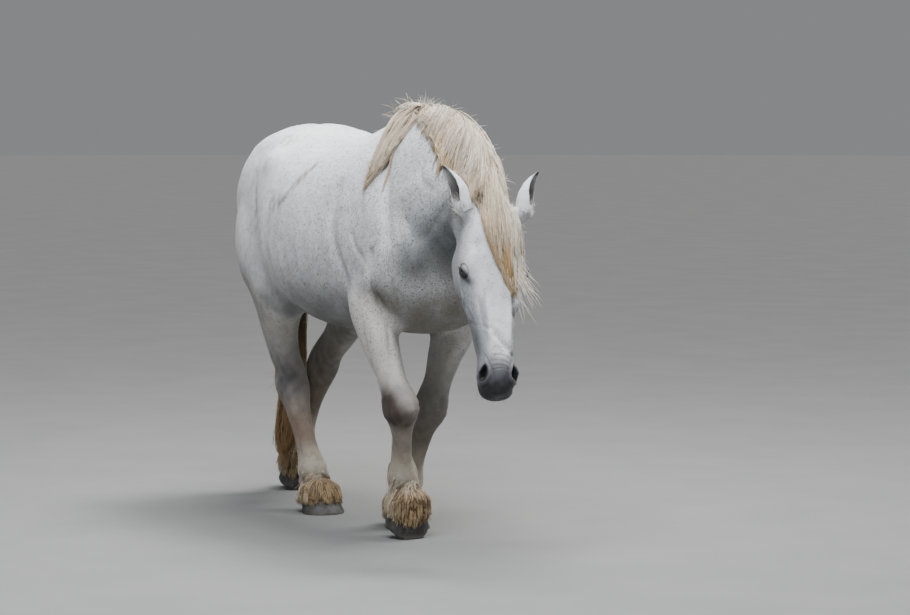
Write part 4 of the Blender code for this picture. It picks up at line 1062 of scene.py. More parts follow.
class Nodes:
    """Short names for building a material."""

    def __init__(self, name, **shader):
        self.material = bpy.data.materials.new(name)
        self.material.use_nodes = True
        self.tree = self.material.node_tree
        self.shader = self.tree.nodes["Principled BSDF"]
        for key, value in shader.items():
            self.shader.inputs[key.replace("_", " ")].default_value = value

    def add(self, kind, **values):
        node = self.tree.nodes.new("ShaderNode" + kind)
        for key, value in values.items():
            if key in node.inputs:
                node.inputs[key].default_value = value
            else:
                setattr(node, key, value)
        return node

    def link(self, source, target):
        self.tree.links.new(source, target)

    def fill(self, sockets, values):
        """Sets each socket to its number or colour, or links it to its source."""
        for socket, value in zip(sockets, values):
            if isinstance(value, (int, float)):
                socket.default_value = value
            elif isinstance(value, tuple):
                socket.default_value = (*value, 1)
            else:
                self.link(value, socket)

    def tint(self, name):
        return self.add("Attribute", attribute_name=name).outputs["Color"]

    def split(self, source):
        separate = self.add("SeparateColor")
        self.link(source, separate.inputs[0])
        return separate.outputs

    def math(self, operation, a, b=0.0):
        node = self.add("Math", operation=operation)
        self.fill(node.inputs, (a, b))
        return node.outputs[0]

    def times(self, a, b):
        return self.math("MULTIPLY", a, b)

    def mix(self, share, a, b, how="MIX"):
        node = self.add("Mix", data_type="RGBA", blend_type=how)
        self.fill((node.inputs[0], node.inputs[6], node.inputs[7]), (share, a, b))
        return node.outputs[2]

    def ramp(self, value, low, high):
        """0 below low, 1 above high."""
        node = self.add("MapRange", interpolation_type="SMOOTHSTEP")
        node.inputs["From Min"].default_value = low
        node.inputs["From Max"].default_value = high
        self.link(value, node.inputs["Value"])
        return node.outputs["Result"]

    def noise(self, scale, detail=3.0, stretch=None, turn=(0, 0, 0)):
        place = self.add("TexCoord").outputs["Object"]
        if stretch:
            mapping = self.add("Mapping")
            mapping.inputs["Rotation"].default_value = turn
            mapping.inputs["Scale"].default_value = stretch
            self.link(place, mapping.inputs["Vector"])
            place = mapping.outputs[0]
        node = self.add("TexNoise", Scale=scale, Detail=detail, Roughness=0.6)
        self.link(place, node.inputs["Vector"])
        return node.outputs["Fac"]

    def bump(self, height, strength, distance, under=None):
        """Raised or sunk detail, over another such layer if there is one."""
        node = self.add("Bump", Strength=strength, Distance=distance)
        self.link(height, node.inputs["Height"])
        if under:
            self.link(under, node.inputs["Normal"])
        return node.outputs[0]

    def finish(self, tone, normal=None, roughness=None):
        for name, source in (("Base Color", tone), ("Normal", normal), ("Roughness", roughness)):
            if source:
                self.link(source, self.shader.inputs[name])
        return self.material


def specks_of_size(m, scale, amount, share, reach):
    """Ragged specks, one in each cell of a pattern; amount and share say how many cells have one."""
    cells = m.add("TexVoronoi", Scale=scale, Randomness=1.0)
    wander = m.add("TexNoise", Scale=scale * 1.3, Detail=2.0)
    here = m.add("TexCoord").outputs["Object"]
    m.link(here, wander.inputs["Vector"])
    shifted = m.add("VectorMath", operation="MULTIPLY_ADD")
    m.link(wander.outputs["Color"], shifted.inputs[0])
    shifted.inputs[1].default_value = (1.3 / scale,) * 3
    m.link(here, shifted.inputs[2])
    m.link(shifted.outputs[0], cells.inputs["Vector"])
    chosen, size, strength = m.split(cells.outputs["Color"])[:3]
    thick = m.math("SUBTRACT", m.times(amount, share), chosen)
    spot = m.ramp(m.math("SUBTRACT", m.times(size, reach), cells.outputs["Distance"]), -0.06, 0.08)
    shown = m.times(spot, m.ramp(thick, 0.0, 0.10))
    return m.times(shown, m.math("ADD", 0.35, m.times(strength, 0.65)))


def short_fur(m, leg, head):
    """Streaks along the way the hair lies: over the body, down the legs and down the face."""
    trunk_streaks = m.noise(1.0, detail=3, stretch=(520, 75, 520), turn=(math.radians(28), 0, 0))
    leg_streaks = m.noise(1.0, detail=3, stretch=(620, 620, 80))
    face_streaks = m.noise(1.0, detail=3, stretch=(760, 760, 130), turn=(math.radians(-20), 0, 0))
    return m.mix(head, m.mix(leg, trunk_streaks, leg_streaks), face_streaks)


def coat_material():
    """Short flat hair: specks, streaks and mottling over the coat's tone, and bare dark skin."""
    mottled, speck = (0.42, 0.43, 0.45), (0.070, 0.075, 0.088)
    pepper, grime = (0.17, 0.175, 0.19), (0.20, 0.175, 0.135)
    m = Nodes("coat", Specular_IOR_Level=0.28, Sheen_Weight=0.12, Sheen_Roughness=0.45)
    specks, bare, dirt = m.split(m.tint("marks"))[:3]
    leg, head = m.split(m.tint("kinds"))[:2]
    tone = m.tint("tone")
    tone = m.mix(m.times(m.ramp(m.noise(34, detail=4), 0.35, 0.75), 0.30), tone, mottled, "MULTIPLY")
    off_head = m.times(specks, m.math("SUBTRACT", 1.0, m.times(head, 0.75)))
    small = specks_of_size(m, 190, specks, share=1.30, reach=0.50)
    medium = specks_of_size(m, 118, off_head, share=0.92, reach=0.44)
    large = specks_of_size(m, 66, off_head, share=0.24, reach=0.30)
    spotted = m.math("MAXIMUM", m.math("MAXIMUM", small, medium), large)
    tone = m.mix(m.times(spotted, 0.88), tone, speck)
    tone = m.mix(m.times(m.times(m.ramp(m.noise(230, detail=3), 0.54, 0.66), specks), 0.60), tone, pepper)
    tone = m.mix(m.times(m.times(m.ramp(m.noise(18, detail=6), 0.46, 0.70), dirt), 0.50), tone, grime)
    fur = short_fur(m, leg, head)
    tone = m.mix(0.30, tone, m.mix(1.0, tone, fur, "OVERLAY"))
    uneven = m.bump(m.noise(26, detail=3), strength=0.35, distance=0.004)
    normal = m.bump(m.mix(bare, fur, m.noise(420, detail=4)), strength=0.55, distance=0.0012, under=uneven)
    return m.finish(tone, normal, m.math("SUBTRACT", 0.72, m.times(bare, 0.26)))


def hair_material():
    """Long hair: each strand keeps its own tone, with a little dirt and gloss."""
    dusty, darker = (0.78, 0.68, 0.54), (0.72, 0.62, 0.50)
    m = Nodes("hair", Roughness=0.48, Specular_IOR_Level=0.35, Sheen_Weight=0.10)
    tone = m.tint("tone")
    tone = m.mix(m.times(m.ramp(m.noise(40, detail=4), 0.46, 0.76), 0.30), tone, dusty, "MULTIPLY")
    streaks = m.noise(1.0, detail=4, stretch=(420, 420, 34))
    tone = m.mix(m.ramp(streaks, 0.52, 0.32), tone, m.mix(1.0, tone, darker, "MULTIPLY"))
    return m.finish(tone, m.bump(streaks, strength=0.6, distance=0.0018))


def horn_material():
    """Dark striped horn with rings of growth, dirt, and a dusty lower edge."""
    black, grey = (0.018, 0.017, 0.018), (0.060, 0.058, 0.062)
    dirty, dusty = (0.13, 0.115, 0.095), (0.16, 0.145, 0.12)
    m = Nodes("horn")
    height, grain = m.split(m.tint("horn"))[:2]
    rings = m.math("SINE", m.times(m.math("ADD", height, m.times(m.noise(14, detail=2), 0.06)), 62.0))
    tone = m.mix(grain, black, grey)
    tone = m.mix(m.times(m.ramp(m.noise(30, detail=6), 0.42, 0.72), 0.55), tone, dirty)
    tone = m.mix(m.ramp(height, 0.14, 0.0), tone, dusty)
    relief = m.math("ADD", m.times(rings, 0.25), m.noise(1.0, detail=3, stretch=(260, 260, 22)))
    roughness = m.math("ADD", 0.42, m.times(m.noise(22, detail=4), 0.3))
    return m.finish(tone, m.bump(relief, strength=0.5, distance=0.0012), roughness)


def eye_material():
    """A dark brown iris with fibres, a lying oval pupil, and a wet coat over all."""
    brown, light_brown = (0.012, 0.006, 0.003), (0.034, 0.016, 0.008)
    white_of_eye, black = (0.030, 0.020, 0.017), (0.003, 0.003, 0.004)
    m = Nodes("eye", Roughness=0.06, Coat_Weight=0.8, Coat_Roughness=0.03)
    iris, pupil = m.split(m.tint("iris"))[:2]
    tone = m.mix(m.noise(260, detail=4), brown, light_brown)
    tone = m.mix(m.ramp(iris, 0.92, 1.02), tone, white_of_eye)
    return m.finish(m.mix(m.ramp(pupil, 1.08, 0.92), tone, black))


def floor_material():
    """A plain pale floor with faint clouds."""
    greyer, paler = (0.186, 0.190, 0.191), (0.202, 0.206, 0.205)
    m = Nodes("floor", Roughness=0.9)
    return m.finish(m.mix(m.ramp(m.noise(2.2, detail=5), 0.3, 0.7), greyer, paler))


# ---------------------------------------------------------------- hair


class Ground:
    """A surface that hair grows from or lies on, with its unwrap if it has one."""

    def __init__(self, mesh):
        mesh.calc_loop_triangles()
        self.points, self.normals = places(mesh), directions(mesh)
        self.corners = column(mesh.loop_triangles, "vertices", 3, np.int32)
        if "OFBake" in mesh.uv_layers:
            loops = column(mesh.loop_triangles, "loops", 3, np.int32)
            self.uvs = column(mesh.uv_layers["OFBake"].data, "uv", 2)[loops]
        a, b, c = (self.points[self.corners[:, k]] for k in range(3))
        self.areas = np.linalg.norm(np.cross(b - a, c - a), axis=1) / 2
        self.tree = BVHTree.FromPolygons([Vector(p) for p in self.points], self.corners.tolist())

    def seeds(self, count, density, *values):
        """Places spread as thickly as density asks, their normals, and values taken over to them."""
        weight = self.areas * density[self.corners].mean(axis=1)
        chosen = rng.choice(len(weight), count, p=weight / weight.sum())
        a, b = rng.random(count), rng.random(count)
        over = a + b > 1
        a[over], b[over] = 1 - a[over], 1 - b[over]
        part = np.stack([1 - a - b, a, b], axis=1)[:, :, None]
        pick = lambda v: (v[self.corners[chosen]] * part).sum(axis=1)
        return [pick(self.points), unit(pick(self.normals)), *(pick(v) for v in values)]

    def unwrapped(self, points):
        """The unwrap's place nearest to each point."""
        found = [self.tree.find_nearest(Vector(p))[2] for p in points]
        return self.uvs[found].mean(axis=1)

    def outside(self, place, gap):
        """The place, moved out where it lies under the surface or nearer to it than the gap."""
        found, normal = self.tree.find_nearest(Vector(place))[:2]
        return found + normal * gap if (Vector(place) - found).dot(normal) < gap else place


class Line:
    """A smooth line that hair is combed along."""

    def __init__(self, points):
        self.points = curve(points)
        self.ways = unit(np.gradient(self.points, axis=0))

    def nearest(self, place):
        """The line's nearest place, its way there, and how far along it is."""
        k = int(np.argmin(np.sum((self.points - np.array(place)) ** 2, axis=1)))
        return Vector(self.points[k]), Vector(self.ways[k]), k / (len(self.points) - 1)


def strands(name, paths, normals, radius, layers, uvs):
    """Thin tapered closed strands, three-sided, one for each path (n, steps, 3)."""
    n, steps = paths.shape[:2]
    share = np.linspace(0, 1, steps)
    side = unit(np.cross(unit(np.gradient(paths, axis=1)), normals))
    lift = np.cross(side, unit(np.gradient(paths, axis=1)))
    profile = np.minimum(0.6 + 2.4 * share, (1 - share) ** 0.6 * 1.05 + 0.10)
    width = np.asarray(radius).reshape(-1, 1, 1) * np.clip(profile, 0, 1)[None, :, None]
    rings = np.stack([paths - side * width, paths + side * width, paths + lift * width * 0.6], axis=2)
    faces = []
    for k in range(steps - 1):
        for i in range(3):
            a, b = k * 3 + i, k * 3 + (i + 1) % 3
            faces += [(a, a + 3, b), (b, a + 3, b + 3)]
    faces += [(0, 1, 2), (steps * 3 - 1, steps * 3 - 2, steps * 3 - 3)]
    base = (np.arange(n) * steps * 3)[:, None, None]
    triangles = (base + np.array(faces)[None]).reshape(-1, 3)
    mesh = triangles_mesh(name, rings.reshape(-1, 3), triangles)
    for layer, values in layers.items():
        if values.ndim == 2:
            values = np.repeat(values[:, None, :], steps, axis=1)
        set_colours(mesh, layer, np.repeat(values[:, :, None, :], 3, axis=2).reshape(n * steps * 3, -1))
    u = uvs[:, None, None, 0] + (np.arange(3) / 2 - 0.5)[None, None, :] * PATCH
    v = uvs[:, None, None, 1] + (share - 0.5)[None, :, None] * PATCH
    per_point = np.stack(np.broadcast_arrays(u, v), axis=3).reshape(-1, 2)
    unwrapped = mesh.uv_layers.new(name="OFBake").data
    unwrapped.foreach_set("uv", per_point[triangles.ravel()].astype(np.float32).ravel())
    rounded(mesh)
    return mesh


def hairs(body, paths, facing, radius, tones):
    """Strands of long hair, each with its tone, or with one at each step."""
    layers = {"tone": np.clip(tones, 0, 0.95)}
    return strands("hairs", paths, facing, radius, layers, body.unwrapped(paths[:, 0]))


def traced(mass, body, root, flow, length, overhang):
    """A line from a root along a flow over a mass; past its edge it hangs, outside the body."""
    place, normal = mass.tree.find_nearest(Vector(root))[:2]
    heading, free, left = None, False, length
    line, facing = [place], [normal]
    while left > 0:
        if not free:
            wish = flow(place)
            wish = (wish - normal * wish.dot(normal)).normalized()
            heading = wish if heading is None else (heading * 0.45 + wish * 0.55).normalized()
            ahead = place + heading * STRIDE
            found, turned = mass.tree.find_nearest(ahead)[:2]
            if (found - ahead).length > 0.5 * STRIDE or turned.dot(normal) < 0.25:
                free, left = True, min(left, overhang)
            else:
                place, normal = found, (normal * 0.4 + turned * 0.6).normalized()
        if free:
            heading = (heading * 0.8 + DOWN * 0.2).normalized()
            place = body.outside(place + heading * STRIDE, 0.004)
        line.append(place)
        facing.append(normal)
        left -= STRIDE
    return line, facing


def resampled(line, facing, steps):
    """The same line in so many even steps."""
    line, facing = np.array(line), np.array(facing)
    gone = np.concatenate(([0], np.cumsum(np.linalg.norm(np.diff(line, axis=0), axis=1))))
    at = np.linspace(0, gone[-1], steps)
    pick = lambda values: np.stack([np.interp(at, gone, values[:, k]) for k in range(3)], axis=1)
    return pick(line), unit(pick(facing))


def comb(mass, body, roots, flow, lengths, overhang, steps=9):
    """A path from each root over the mass, and the way each of its steps faces."""
    made = [resampled(*traced(mass, body, r, flow, d, overhang), steps) for r, d in zip(roots, lengths)]
    return np.array([m[0] for m in made]), np.array([m[1] for m in made])


def locks(paths, normals, count, spread, gather, wave, depth):
    """Strands round each path: apart at the root, gathered at the tip, and of several lengths."""
    n, steps = paths.shape[:2]
    share = np.linspace(0, 1, steps)[None, :, None]
    side = unit(np.cross(unit(np.gradient(paths, axis=1)), normals))
    total = n * count
    repeat = lambda values: np.repeat(values, count, axis=0)
    aside = rng.normal(size=(total, 1, 1)) * spread
    under = -rng.random((total, 1, 1)) * depth
    close = 1 - (1 - gather) * share**0.8
    bend = rng.uniform(0.5, 1.5, (n, 1, 1)) * 2 * math.pi
    phase = rng.uniform(0, 2 * math.pi, (n, 1, 1))
    swing = repeat(np.sin(share * bend + phase) * wave * share)
    swing = swing + rng.normal(size=(total, 1, 1)) * wave * 0.25 * share
    sideways, outwards = aside * close + swing, under * close + swing * 0.4
    made = repeat(paths) + repeat(side) * sideways + repeat(normals) * outwards
    made[:, 0] -= repeat(normals)[:, 0] * 0.006
    at = share * rng.uniform(0.70, 1.0, (total, 1, 1)) * (steps - 1)
    low = np.clip(np.floor(at).astype(int), 0, steps - 2)
    rows = np.arange(total)[:, None]
    first, second = made[rows, low[:, :, 0]], made[rows, low[:, :, 0] + 1]
    return first + (second - first) * (at - low), repeat(normals)


def varied(tones, count, roughly=0.13, streaks=0.24):
    """Each lock's tone for each of its strands, some lighter or darker and some streaked."""
    streak = np.array((0.62, 0.48, 0.33))
    tones = np.repeat(tones, count, axis=0)
    tones = tones * rng.normal(1, roughly, (len(tones), 1)).clip(0.6, 1.3)
    marked = (rng.random((len(tones), 1)) < streaks) * rng.uniform(0.3, 0.8, (len(tones), 1))
    return np.clip(tones * (1 - marked) + tones * streak * marked, 0, 0.95)


def some(count, chance, least, most=1.0):
    """For each of many locks either nothing, or by chance an amount between two."""
    return (rng.random((count, 1)) < chance) * rng.uniform(least, most, (count, 1))


def loose(body, roots, ways, length, sag, steps=7):
    """Single hairs that stand off the rest and bend down to their tips."""
    paths, facing = [], []
    for root, way in zip(roots, ways):
        place, heading = Vector(root), Vector(way).normalized()
        bend = Vector(rng.normal(size=3)) * 0.12
        step = length * rng.uniform(0.6, 1.1) / (steps - 1)
        line = []
        for _ in range(steps):
            line.append(place)
            heading = (heading + (DOWN * sag + bend) * 0.5).normalized()
            place = body.outside(place + heading * step, 0.003)
        paths.append(line)
        facing.append([Vector(way).cross(UP).normalized()] * steps)
    return np.array(paths), np.array(facing)


def even(mass):
    """The same density all over a mass."""
    return np.ones(len(mass.points))


def flyaways(mass, body, density, count, length, tone, sag=0.10):
    """Loose hairs that stand off a mass."""
    roots, normals = mass.seeds(count, density)
    ways = normals * 0.75 + rng.normal(size=(count, 3)) * 0.55 + np.array((0, -0.25, 0.1))
    paths, facing = loose(body, roots, ways, length, sag)
    return hairs(body, paths, facing, 0.0005, tone * rng.uniform(0.8, 1.05, (count, 1)))


def hair_mass(node):
    """The solid of hair as an even mesh, to comb locks over."""
    obj = voxels(joined(node + "_under", [welded(node)]), HAIR_VOXEL)
    soften(obj.data, rounds=10, restore=6)
    return obj


def shaded_under_hair(obj, shrink, tone, material, slot, *nodes):
    """What is seen between the locks: the solid of hair, drawn in, in a darker tone that is painted shade
    between the locks; its tone may depend on the place.
    """
    put(obj.data, places(obj.data) - directions(obj.data) * shrink)
    mesh = fewer(obj, 0.4).data
    grain = waves(places(mesh) * np.array((1, 1, 0.2)), 0.012, 5)[:, None]
    tone = tone(places(mesh)) if callable(tone) else tone
    set_colours(mesh, "tone", tone * (0.80 + 0.25 * grain))
    rounded(mesh)
    unwrap(obj)
    finished(obj, material, slot, *nodes)


def merged(name, meshes):
    """Meshes of strands as one piece; their colours and UV maps are kept."""
    objects = [new_object(f"{name}_{k}", mesh) for k, mesh in enumerate(meshes)]
    with bpy.context.temp_override(active_object=objects[0], selected_editable_objects=objects):
        bpy.ops.object.join()
    objects[0].name = name
    return objects[0]


# ---------------------------------------------------------------- mane and forelock

CREST = Line((
    (0, -0.174, 1.575), (0, -0.344, 1.636), (-0.002, -0.504, 1.662), (-0.006, -0.664, 1.644),
    (-0.012, -0.814, 1.576), (-0.022, -0.944, 1.478), (-0.032, -1.029, 1.390), (-0.038, -1.074, 1.330),
))
WITHERS_LOCK = Line((
    (0.010, -0.374, 1.640), (-0.030, -0.369, 1.655), (-0.080, -0.359, 1.610), (-0.125, -0.349, 1.540),
    (-0.165, -0.339, 1.465), (-0.198, -0.332, 1.400), (-0.220, -0.328, 1.360),
))
TAIL_LINE = Line((
    (0, 0.941, 1.468), (0.003, 1.011, 1.458), (0.008, 1.086, 1.392), (0.020, 1.118, 1.270),
    (0.036, 1.121, 1.080), (0.050, 1.106, 0.860), (0.050, 1.091, 0.640), (0.044, 1.078, 0.440),
    (0.022, 1.068, 0.290), (0.002, 1.062, 0.150),
))
HAIR_WHITE, HAIR_CREAM, HAIR_SAND = shade(242, 238, 229), shade(238, 222, 195), shade(220, 196, 158)
FACE_STARTS, FACE_FULL = -0.16, 0.02  # in heads down from the poll
# Tones of the solids seen between the locks: darker than the locks, as painted shade in the gaps.
UNDER_MANE, UNDER_WITHERS, UNDER_TAIL = shade(176, 150, 116), shade(158, 138, 114), shade(92, 68, 48)


def mane_flow(place):
    """Swept along the crest on top; lower down it falls, and near the poll slants to the forehead."""
    at, way, along = CREST.nearest(place)
    sweep = 1 - ease((place - at).length, 0.030, 0.105)
    aside = Vector((-1 if place.x < at.x + 0.03 else 1, 0, 0))
    to_right = ease(at.x - place.x, 0.015, 0.055)
    forward = (0.95 * sweep + 0.55 * ease(along, 0.50, 0.95)) * (1 - 0.85 * to_right)
    return way * forward + DOWN * (1 - 0.80 * sweep) + aside * 0.42 * sweep


def crown_flow(place):
    """The mane's flow on the neck, and down the face from the poll."""
    share = ease((place - POLL).dot(MUZZLE) / HEAD, FACE_STARTS, FACE_FULL)
    return mane_flow(place).normalized() * (1 - share) + (MUZZLE + HEAD_LEFT * 0.06) * share


def on_face(points):
    """0 on the neck, 1 on the forehead."""
    return smoothstep(in_heads(points)[:, 2], FACE_STARTS, FACE_FULL)


def crown():
    """Mane and forelock as one mass, bridged over the poll."""
    bridge = []
    for node, reach in (("mane_neck", 0.20), ("forelock", 0.15)):
        points = node_points(node)
        bridge.append(points[np.linalg.norm(points - np.array(POLL), axis=1) < reach])
    bridge = np.concatenate(bridge)
    between_ears = np.abs(in_heads(bridge)[:, 0]) < 0.060
    meshes = [welded("mane_neck"), welded("forelock"), hull("bridge", bridge[between_ears])]
    obj = voxels(joined("crown_under", meshes), HAIR_VOXEL)
    soften(obj.data, rounds=12, restore=6)
    put(obj.data, beside_ears(places(obj.data), 0.028))
    return obj


def beside_ears(paths, reach=0.034):
    """Strands that would pass through an ear, moved towards the middle of the head."""
    for name, side in SIDES.items():
        away = np.linalg.norm(paths - ear_axis(name, paths[..., 2]), axis=-1, keepdims=True)
        paths = paths - np.array(HEAD_LEFT) * side * np.clip(reach - away, 0, None)
    return paths


def off_cheeks(paths):
    """Which strands keep clear of the sides of the head."""
    across, out, down = np.moveaxis(in_heads(paths), -1, 0)
    return np.all((np.abs(across) < 0.10) | (down < -0.04) | (out < -0.26), axis=1)


def mane(mass, body, hair):
    """Locks over both sides of the crest, in two pieces, with loose hairs and longer hanging locks."""
    guides, count = 400, 14
    on_top = smoothstep(-from_line(mass.points, CREST.points)[0], -0.13, -0.04)
    on_neck = 1 - on_face(mass.points)
    roots, _, top = mass.seeds(guides, (0.45 + 1.3 * on_top) * on_neck, on_top[:, None])
    lengths = 0.28 * rng.uniform(0.60, 1.15, guides) + 0.10 * top[:, 0]
    paths, facing = comb(mass, body, roots, crown_flow, lengths, overhang=0.055)
    made, turned = locks(paths, facing, count, spread=0.0092, gather=0.20, wave=0.008, depth=0.012)
    whiter = np.clip(top + rng.normal(0, 0.25, top.shape), 0, 1)
    tones = blend(HAIR_CREAM, HAIR_WHITE, whiter)
    sandy = (rng.random((guides, 1)) < 0.75) * (1 - 0.65 * whiter) * rng.uniform(0.3, 1.0, (guides, 1))
    tones = blend(tones, shade(196, 158, 108), sandy) * rng.uniform(0.74, 1.06, (guides, 1))
    colours = varied(tones, count)
    hanging = hanging_locks(mass, body)
    made = beside_ears(made)
    kept, front = off_cheeks(made), np.arange(len(made)) < guides // 2 * count
    parts = [hairs(body, made[p], turned[p], 0.0012, colours[p]) for p in (kept & front, kept & ~front)]
    loose_hairs = flyaways(mass, body, on_top * on_neck, count=110, length=0.050, tone=HAIR_WHITE)
    finished(merged("mane_front", [parts[0], loose_hairs]), hair, "hair", "mane_neck")
    finished(merged("mane_back", [parts[1], hanging]), hair, "hair", "mane_neck")


def hanging_locks(mass, body):
    """Longer locks that fall from the mane's lower half, straight down the side of the neck."""
    guides, count = 46, 14
    away, along = from_line(mass.points, CREST.points)
    right = (mass.points[:, 0] < -0.03) * smoothstep(away, 0.08, 0.16) * (1 - on_face(mass.points))
    spread = smoothstep(along, 0.14, 0.22) * smoothstep(-along, -0.88, -0.78)
    roots = mass.seeds(guides, right * spread)[0]
    lengths = rng.uniform(0.10, 0.24, guides)
    paths, facing = comb(mass, body, roots, lambda place: DOWN + FORWARD * 0.10, lengths, overhang=0.10)
    paths = paths + facing * 0.003
    made, turned = locks(paths, facing, count, spread=0.0085, gather=0.22, wave=0.006, depth=0.008)
    tones = blend(HAIR_CREAM, shade(208, 178, 134), rng.uniform(0.0, 0.8, (guides, 1)))
    colours, kept = varied(tones, count, roughly=0.13, streaks=0.20), off_cheeks(made)
    return hairs(body, made[kept], turned[kept], 0.0012, colours[kept])


def withers_mane(body, hair):
    """The last lock of the mane over the shoulder, its upright tuft, and one long thin lock before it."""
    guides, count = 150, 12
    mass_object = hair_mass("mane_withers")
    mass = Ground(mass_object.data)
    flow = lambda place: WITHERS_LOCK.nearest(place)[1] + DOWN * 0.15
    height = smoothstep(mass.points[:, 2], 1.36, 1.62)
    roots, _, high = mass.seeds(guides, 0.35 + 1.6 * height, height[:, None])
    paths, facing = comb(mass, body, roots, flow, 0.26 * rng.uniform(0.7, 1.2, guides), overhang=0.05)
    made, turned = locks(paths, facing, count, spread=0.0065, gather=0.3, wave=0.007, depth=0.009)
    tones = blend(HAIR_CREAM, shade(178, 154, 132), some(guides, chance=0.42, least=0.3, most=0.9))
    tones = blend(tones, HAIR_WHITE, high * 0.5)
    meshes = [hairs(body, made, turned, 0.0011, varied(tones, count, roughly=0.10, streaks=0.13))]
    meshes.append(withers_tuft(body))
    meshes.append(flyaways(mass, body, even(mass), count=90, length=0.07, tone=HAIR_CREAM, sag=0.30))
    meshes.append(shoulder_lock(body))
    finished(merged("mane_shoulder", meshes), hair, "hair", "mane_withers")
    shaded_under_hair(mass_object, 0.012, UNDER_WITHERS, hair, "hair", "mane_withers")


def withers_tuft(body):
    count = 120
    tuft = np.array((-0.012, -0.372, 1.640)) + rng.normal(size=(count, 3)) * np.array((0.020, 0.024, 0.006))
    ways = np.array((0, 0.05, 1.0)) + rng.normal(size=(count, 3)) * np.array((0.7, 0.75, 0.3))
    paths, facing = loose(body, tuft, ways, length=0.078, sag=0.12)
    return hairs(body, paths, facing, 0.0009, HAIR_WHITE * rng.uniform(0.8, 1.05, (count, 1)))


def shoulder_lock(body):
    count = 40
    start = np.array((-0.070, -0.400, 1.600)) + rng.normal(size=(count, 3)) * 0.006
    flow = lambda place: DOWN + Vector((-0.1, -0.12, 0))
    paths, facing = comb(body, body, start, flow, 0.30 * rng.uniform(0.7, 1.1, count), overhang=0.02)
    paths = paths + facing * (0.003 + 0.002 * rng.random((count, 1, 1)))
    return hairs(body, paths, facing, 0.0008, HAIR_SAND * rng.uniform(0.8, 1.1, (count, 1)))


def forelock(mass, body, hair):
    """Locks down the forehead, sandy at their sides and ends, with wisps off the left of the face."""
    guides, count = 185, 14
    heads = in_heads(mass.points)
    poll_or_face = smoothstep(heads[:, 2], -0.26, -0.14)
    upper = smoothstep(-heads[:, 2], -0.25, 0.02)
    density = (0.4 + 0.9 * upper) * (0.25 + (heads[:, 1] > -0.10)) * poll_or_face
    roots, _, at = mass.seeds(guides, density, heads)
    paths, facing = comb(mass, body, roots, crown_flow, 0.27 * rng.uniform(0.7, 1.2, guides), overhang=0.028)
    made, turned = locks(paths, facing, count, spread=0.0075, gather=0.28, wave=0.006, depth=0.009)
    paler = smoothstep(at[:, :1] - 0.15 * at[:, 2:], 0.0, 0.07)
    sandy = (rng.random((guides, 1)) < 0.62) * (1 - 0.75 * paler) * rng.uniform(0.35, 1.0, (guides, 1))
    sandy = sandy * (0.35 + 0.65 * smoothstep(at[:, 2:], -0.10, 0.12))
    tones = blend(blend(HAIR_CREAM, HAIR_WHITE, paler), shade(200, 162, 112), sandy)
    colours = varied(tones * rng.uniform(0.74, 1.06, (guides, 1)), count)
    meshes = [hairs(body, beside_ears(made), turned, 0.0011, colours)]
    meshes.append(flyaways(mass, body, poll_or_face, count=70, length=0.05, tone=HAIR_WHITE, sag=0.25))
    meshes.append(face_wisps(body))
    finished(merged("forelock_locks", meshes), hair, "hair", "forelock")


def face_wisps(body):
    wisps = range(80)
    roots = [on_head(0.075 + 0.012 * rng.normal(), -0.02, 0.33 + 0.05 * rng.normal()) for _ in wisps]
    ways = [MUZZLE + HEAD_LEFT * (0.60 + 0.25 * rng.normal()) + FACE * 0.2 for _ in wisps]
    paths, facing = loose(body, roots, ways, length=0.17, sag=0.16)
    return hairs(body, paths, facing, 0.0010, HAIR_WHITE * rng.uniform(0.85, 1.1, (len(roots), 1)))


def ear_fluff(body, hair):
    """Pale hair that fills the foot of each ear and softens its join with the head."""
    count, pale = 150, shade(232, 228, 222)
    meshes = []
    for name in SIDES:
        points = node_points("ear_" + name)
        low, top = points[:, 2].min(), points[:, 2].max()
        up = (body.points[:, 2] - low) / (top - low)
        close = np.min(np.linalg.norm(body.points[:, None, :] - points[None, ::9], axis=2), axis=1) < 0.024
        centres = EAR_MIDDLES[name][1]
        axis = unit(centres[-1] - centres[0])
        roots, normals = body.seeds(count, close * smoothstep(-up, -0.50, -0.15) * (up > -0.25))
        ways = normals * 0.35 + axis * 1.0 + rng.normal(size=(count, 3)) * 0.22
        paths, facing = loose(body, roots, ways, length=0.026, sag=0.05, steps=6)
        meshes.append(hairs(body, paths, facing, 0.0008, pale * rng.uniform(0.8, 1.05, (count, 1))))
    finished(merged("ear_fluff", meshes), hair, "hair")


# ---------------------------------------------------------------- tail, feathers, lashes


def tail(body, hair):
    """Dark inside, sandy and brown outside, tan towards the end."""
    guides, count = 230, 13
    mass_object = hair_mass("tail")
    mass = Ground(mass_object.data)
    flow = lambda place: TAIL_LINE.nearest(place)[1] + DOWN * 0.1
    high = smoothstep(mass.points[:, 2], 0.3, 1.5)
    roots = mass.seeds(guides, 0.35 + 1.4 * high)[0]
    paths, facing = comb(mass, body, roots, flow, 0.62 * rng.uniform(0.6, 1.2, guides), overhang=0.05)
    made, turned = locks(paths, facing, count, spread=0.0100, gather=0.40, wave=0.020, depth=0.012)
    tones = blend(HAIR_SAND, shade(112, 84, 60), some(guides, chance=0.50, least=0.3))
    inner = np.clip(smoothstep(-facing[:, 0, 1:2], -0.2, 0.5) + rng.normal(0, 0.12, (guides, 1)), 0, 1)
    colours = varied(blend(tones, shade(62, 48, 40), inner), count, roughly=0.14, streaks=0.25)[:, None, :]
    colours = blend(colours, shade(208, 168, 118), 0.62 * (1 - smoothstep(made[:, :, 2:], 0.30, 0.85)))
    meshes = [hairs(body, made, turned, 0.0016, colours)]
    meshes.append(flyaways(mass, body, even(mass), count=90, length=0.09, tone=HAIR_SAND, sag=0.45))
    finished(merged("tail_locks", meshes), hair, "tail_hair", "tail")
    shaded_under_hair(mass_object, 0.010, UNDER_TAIL, hair, "tail_hair", "tail")


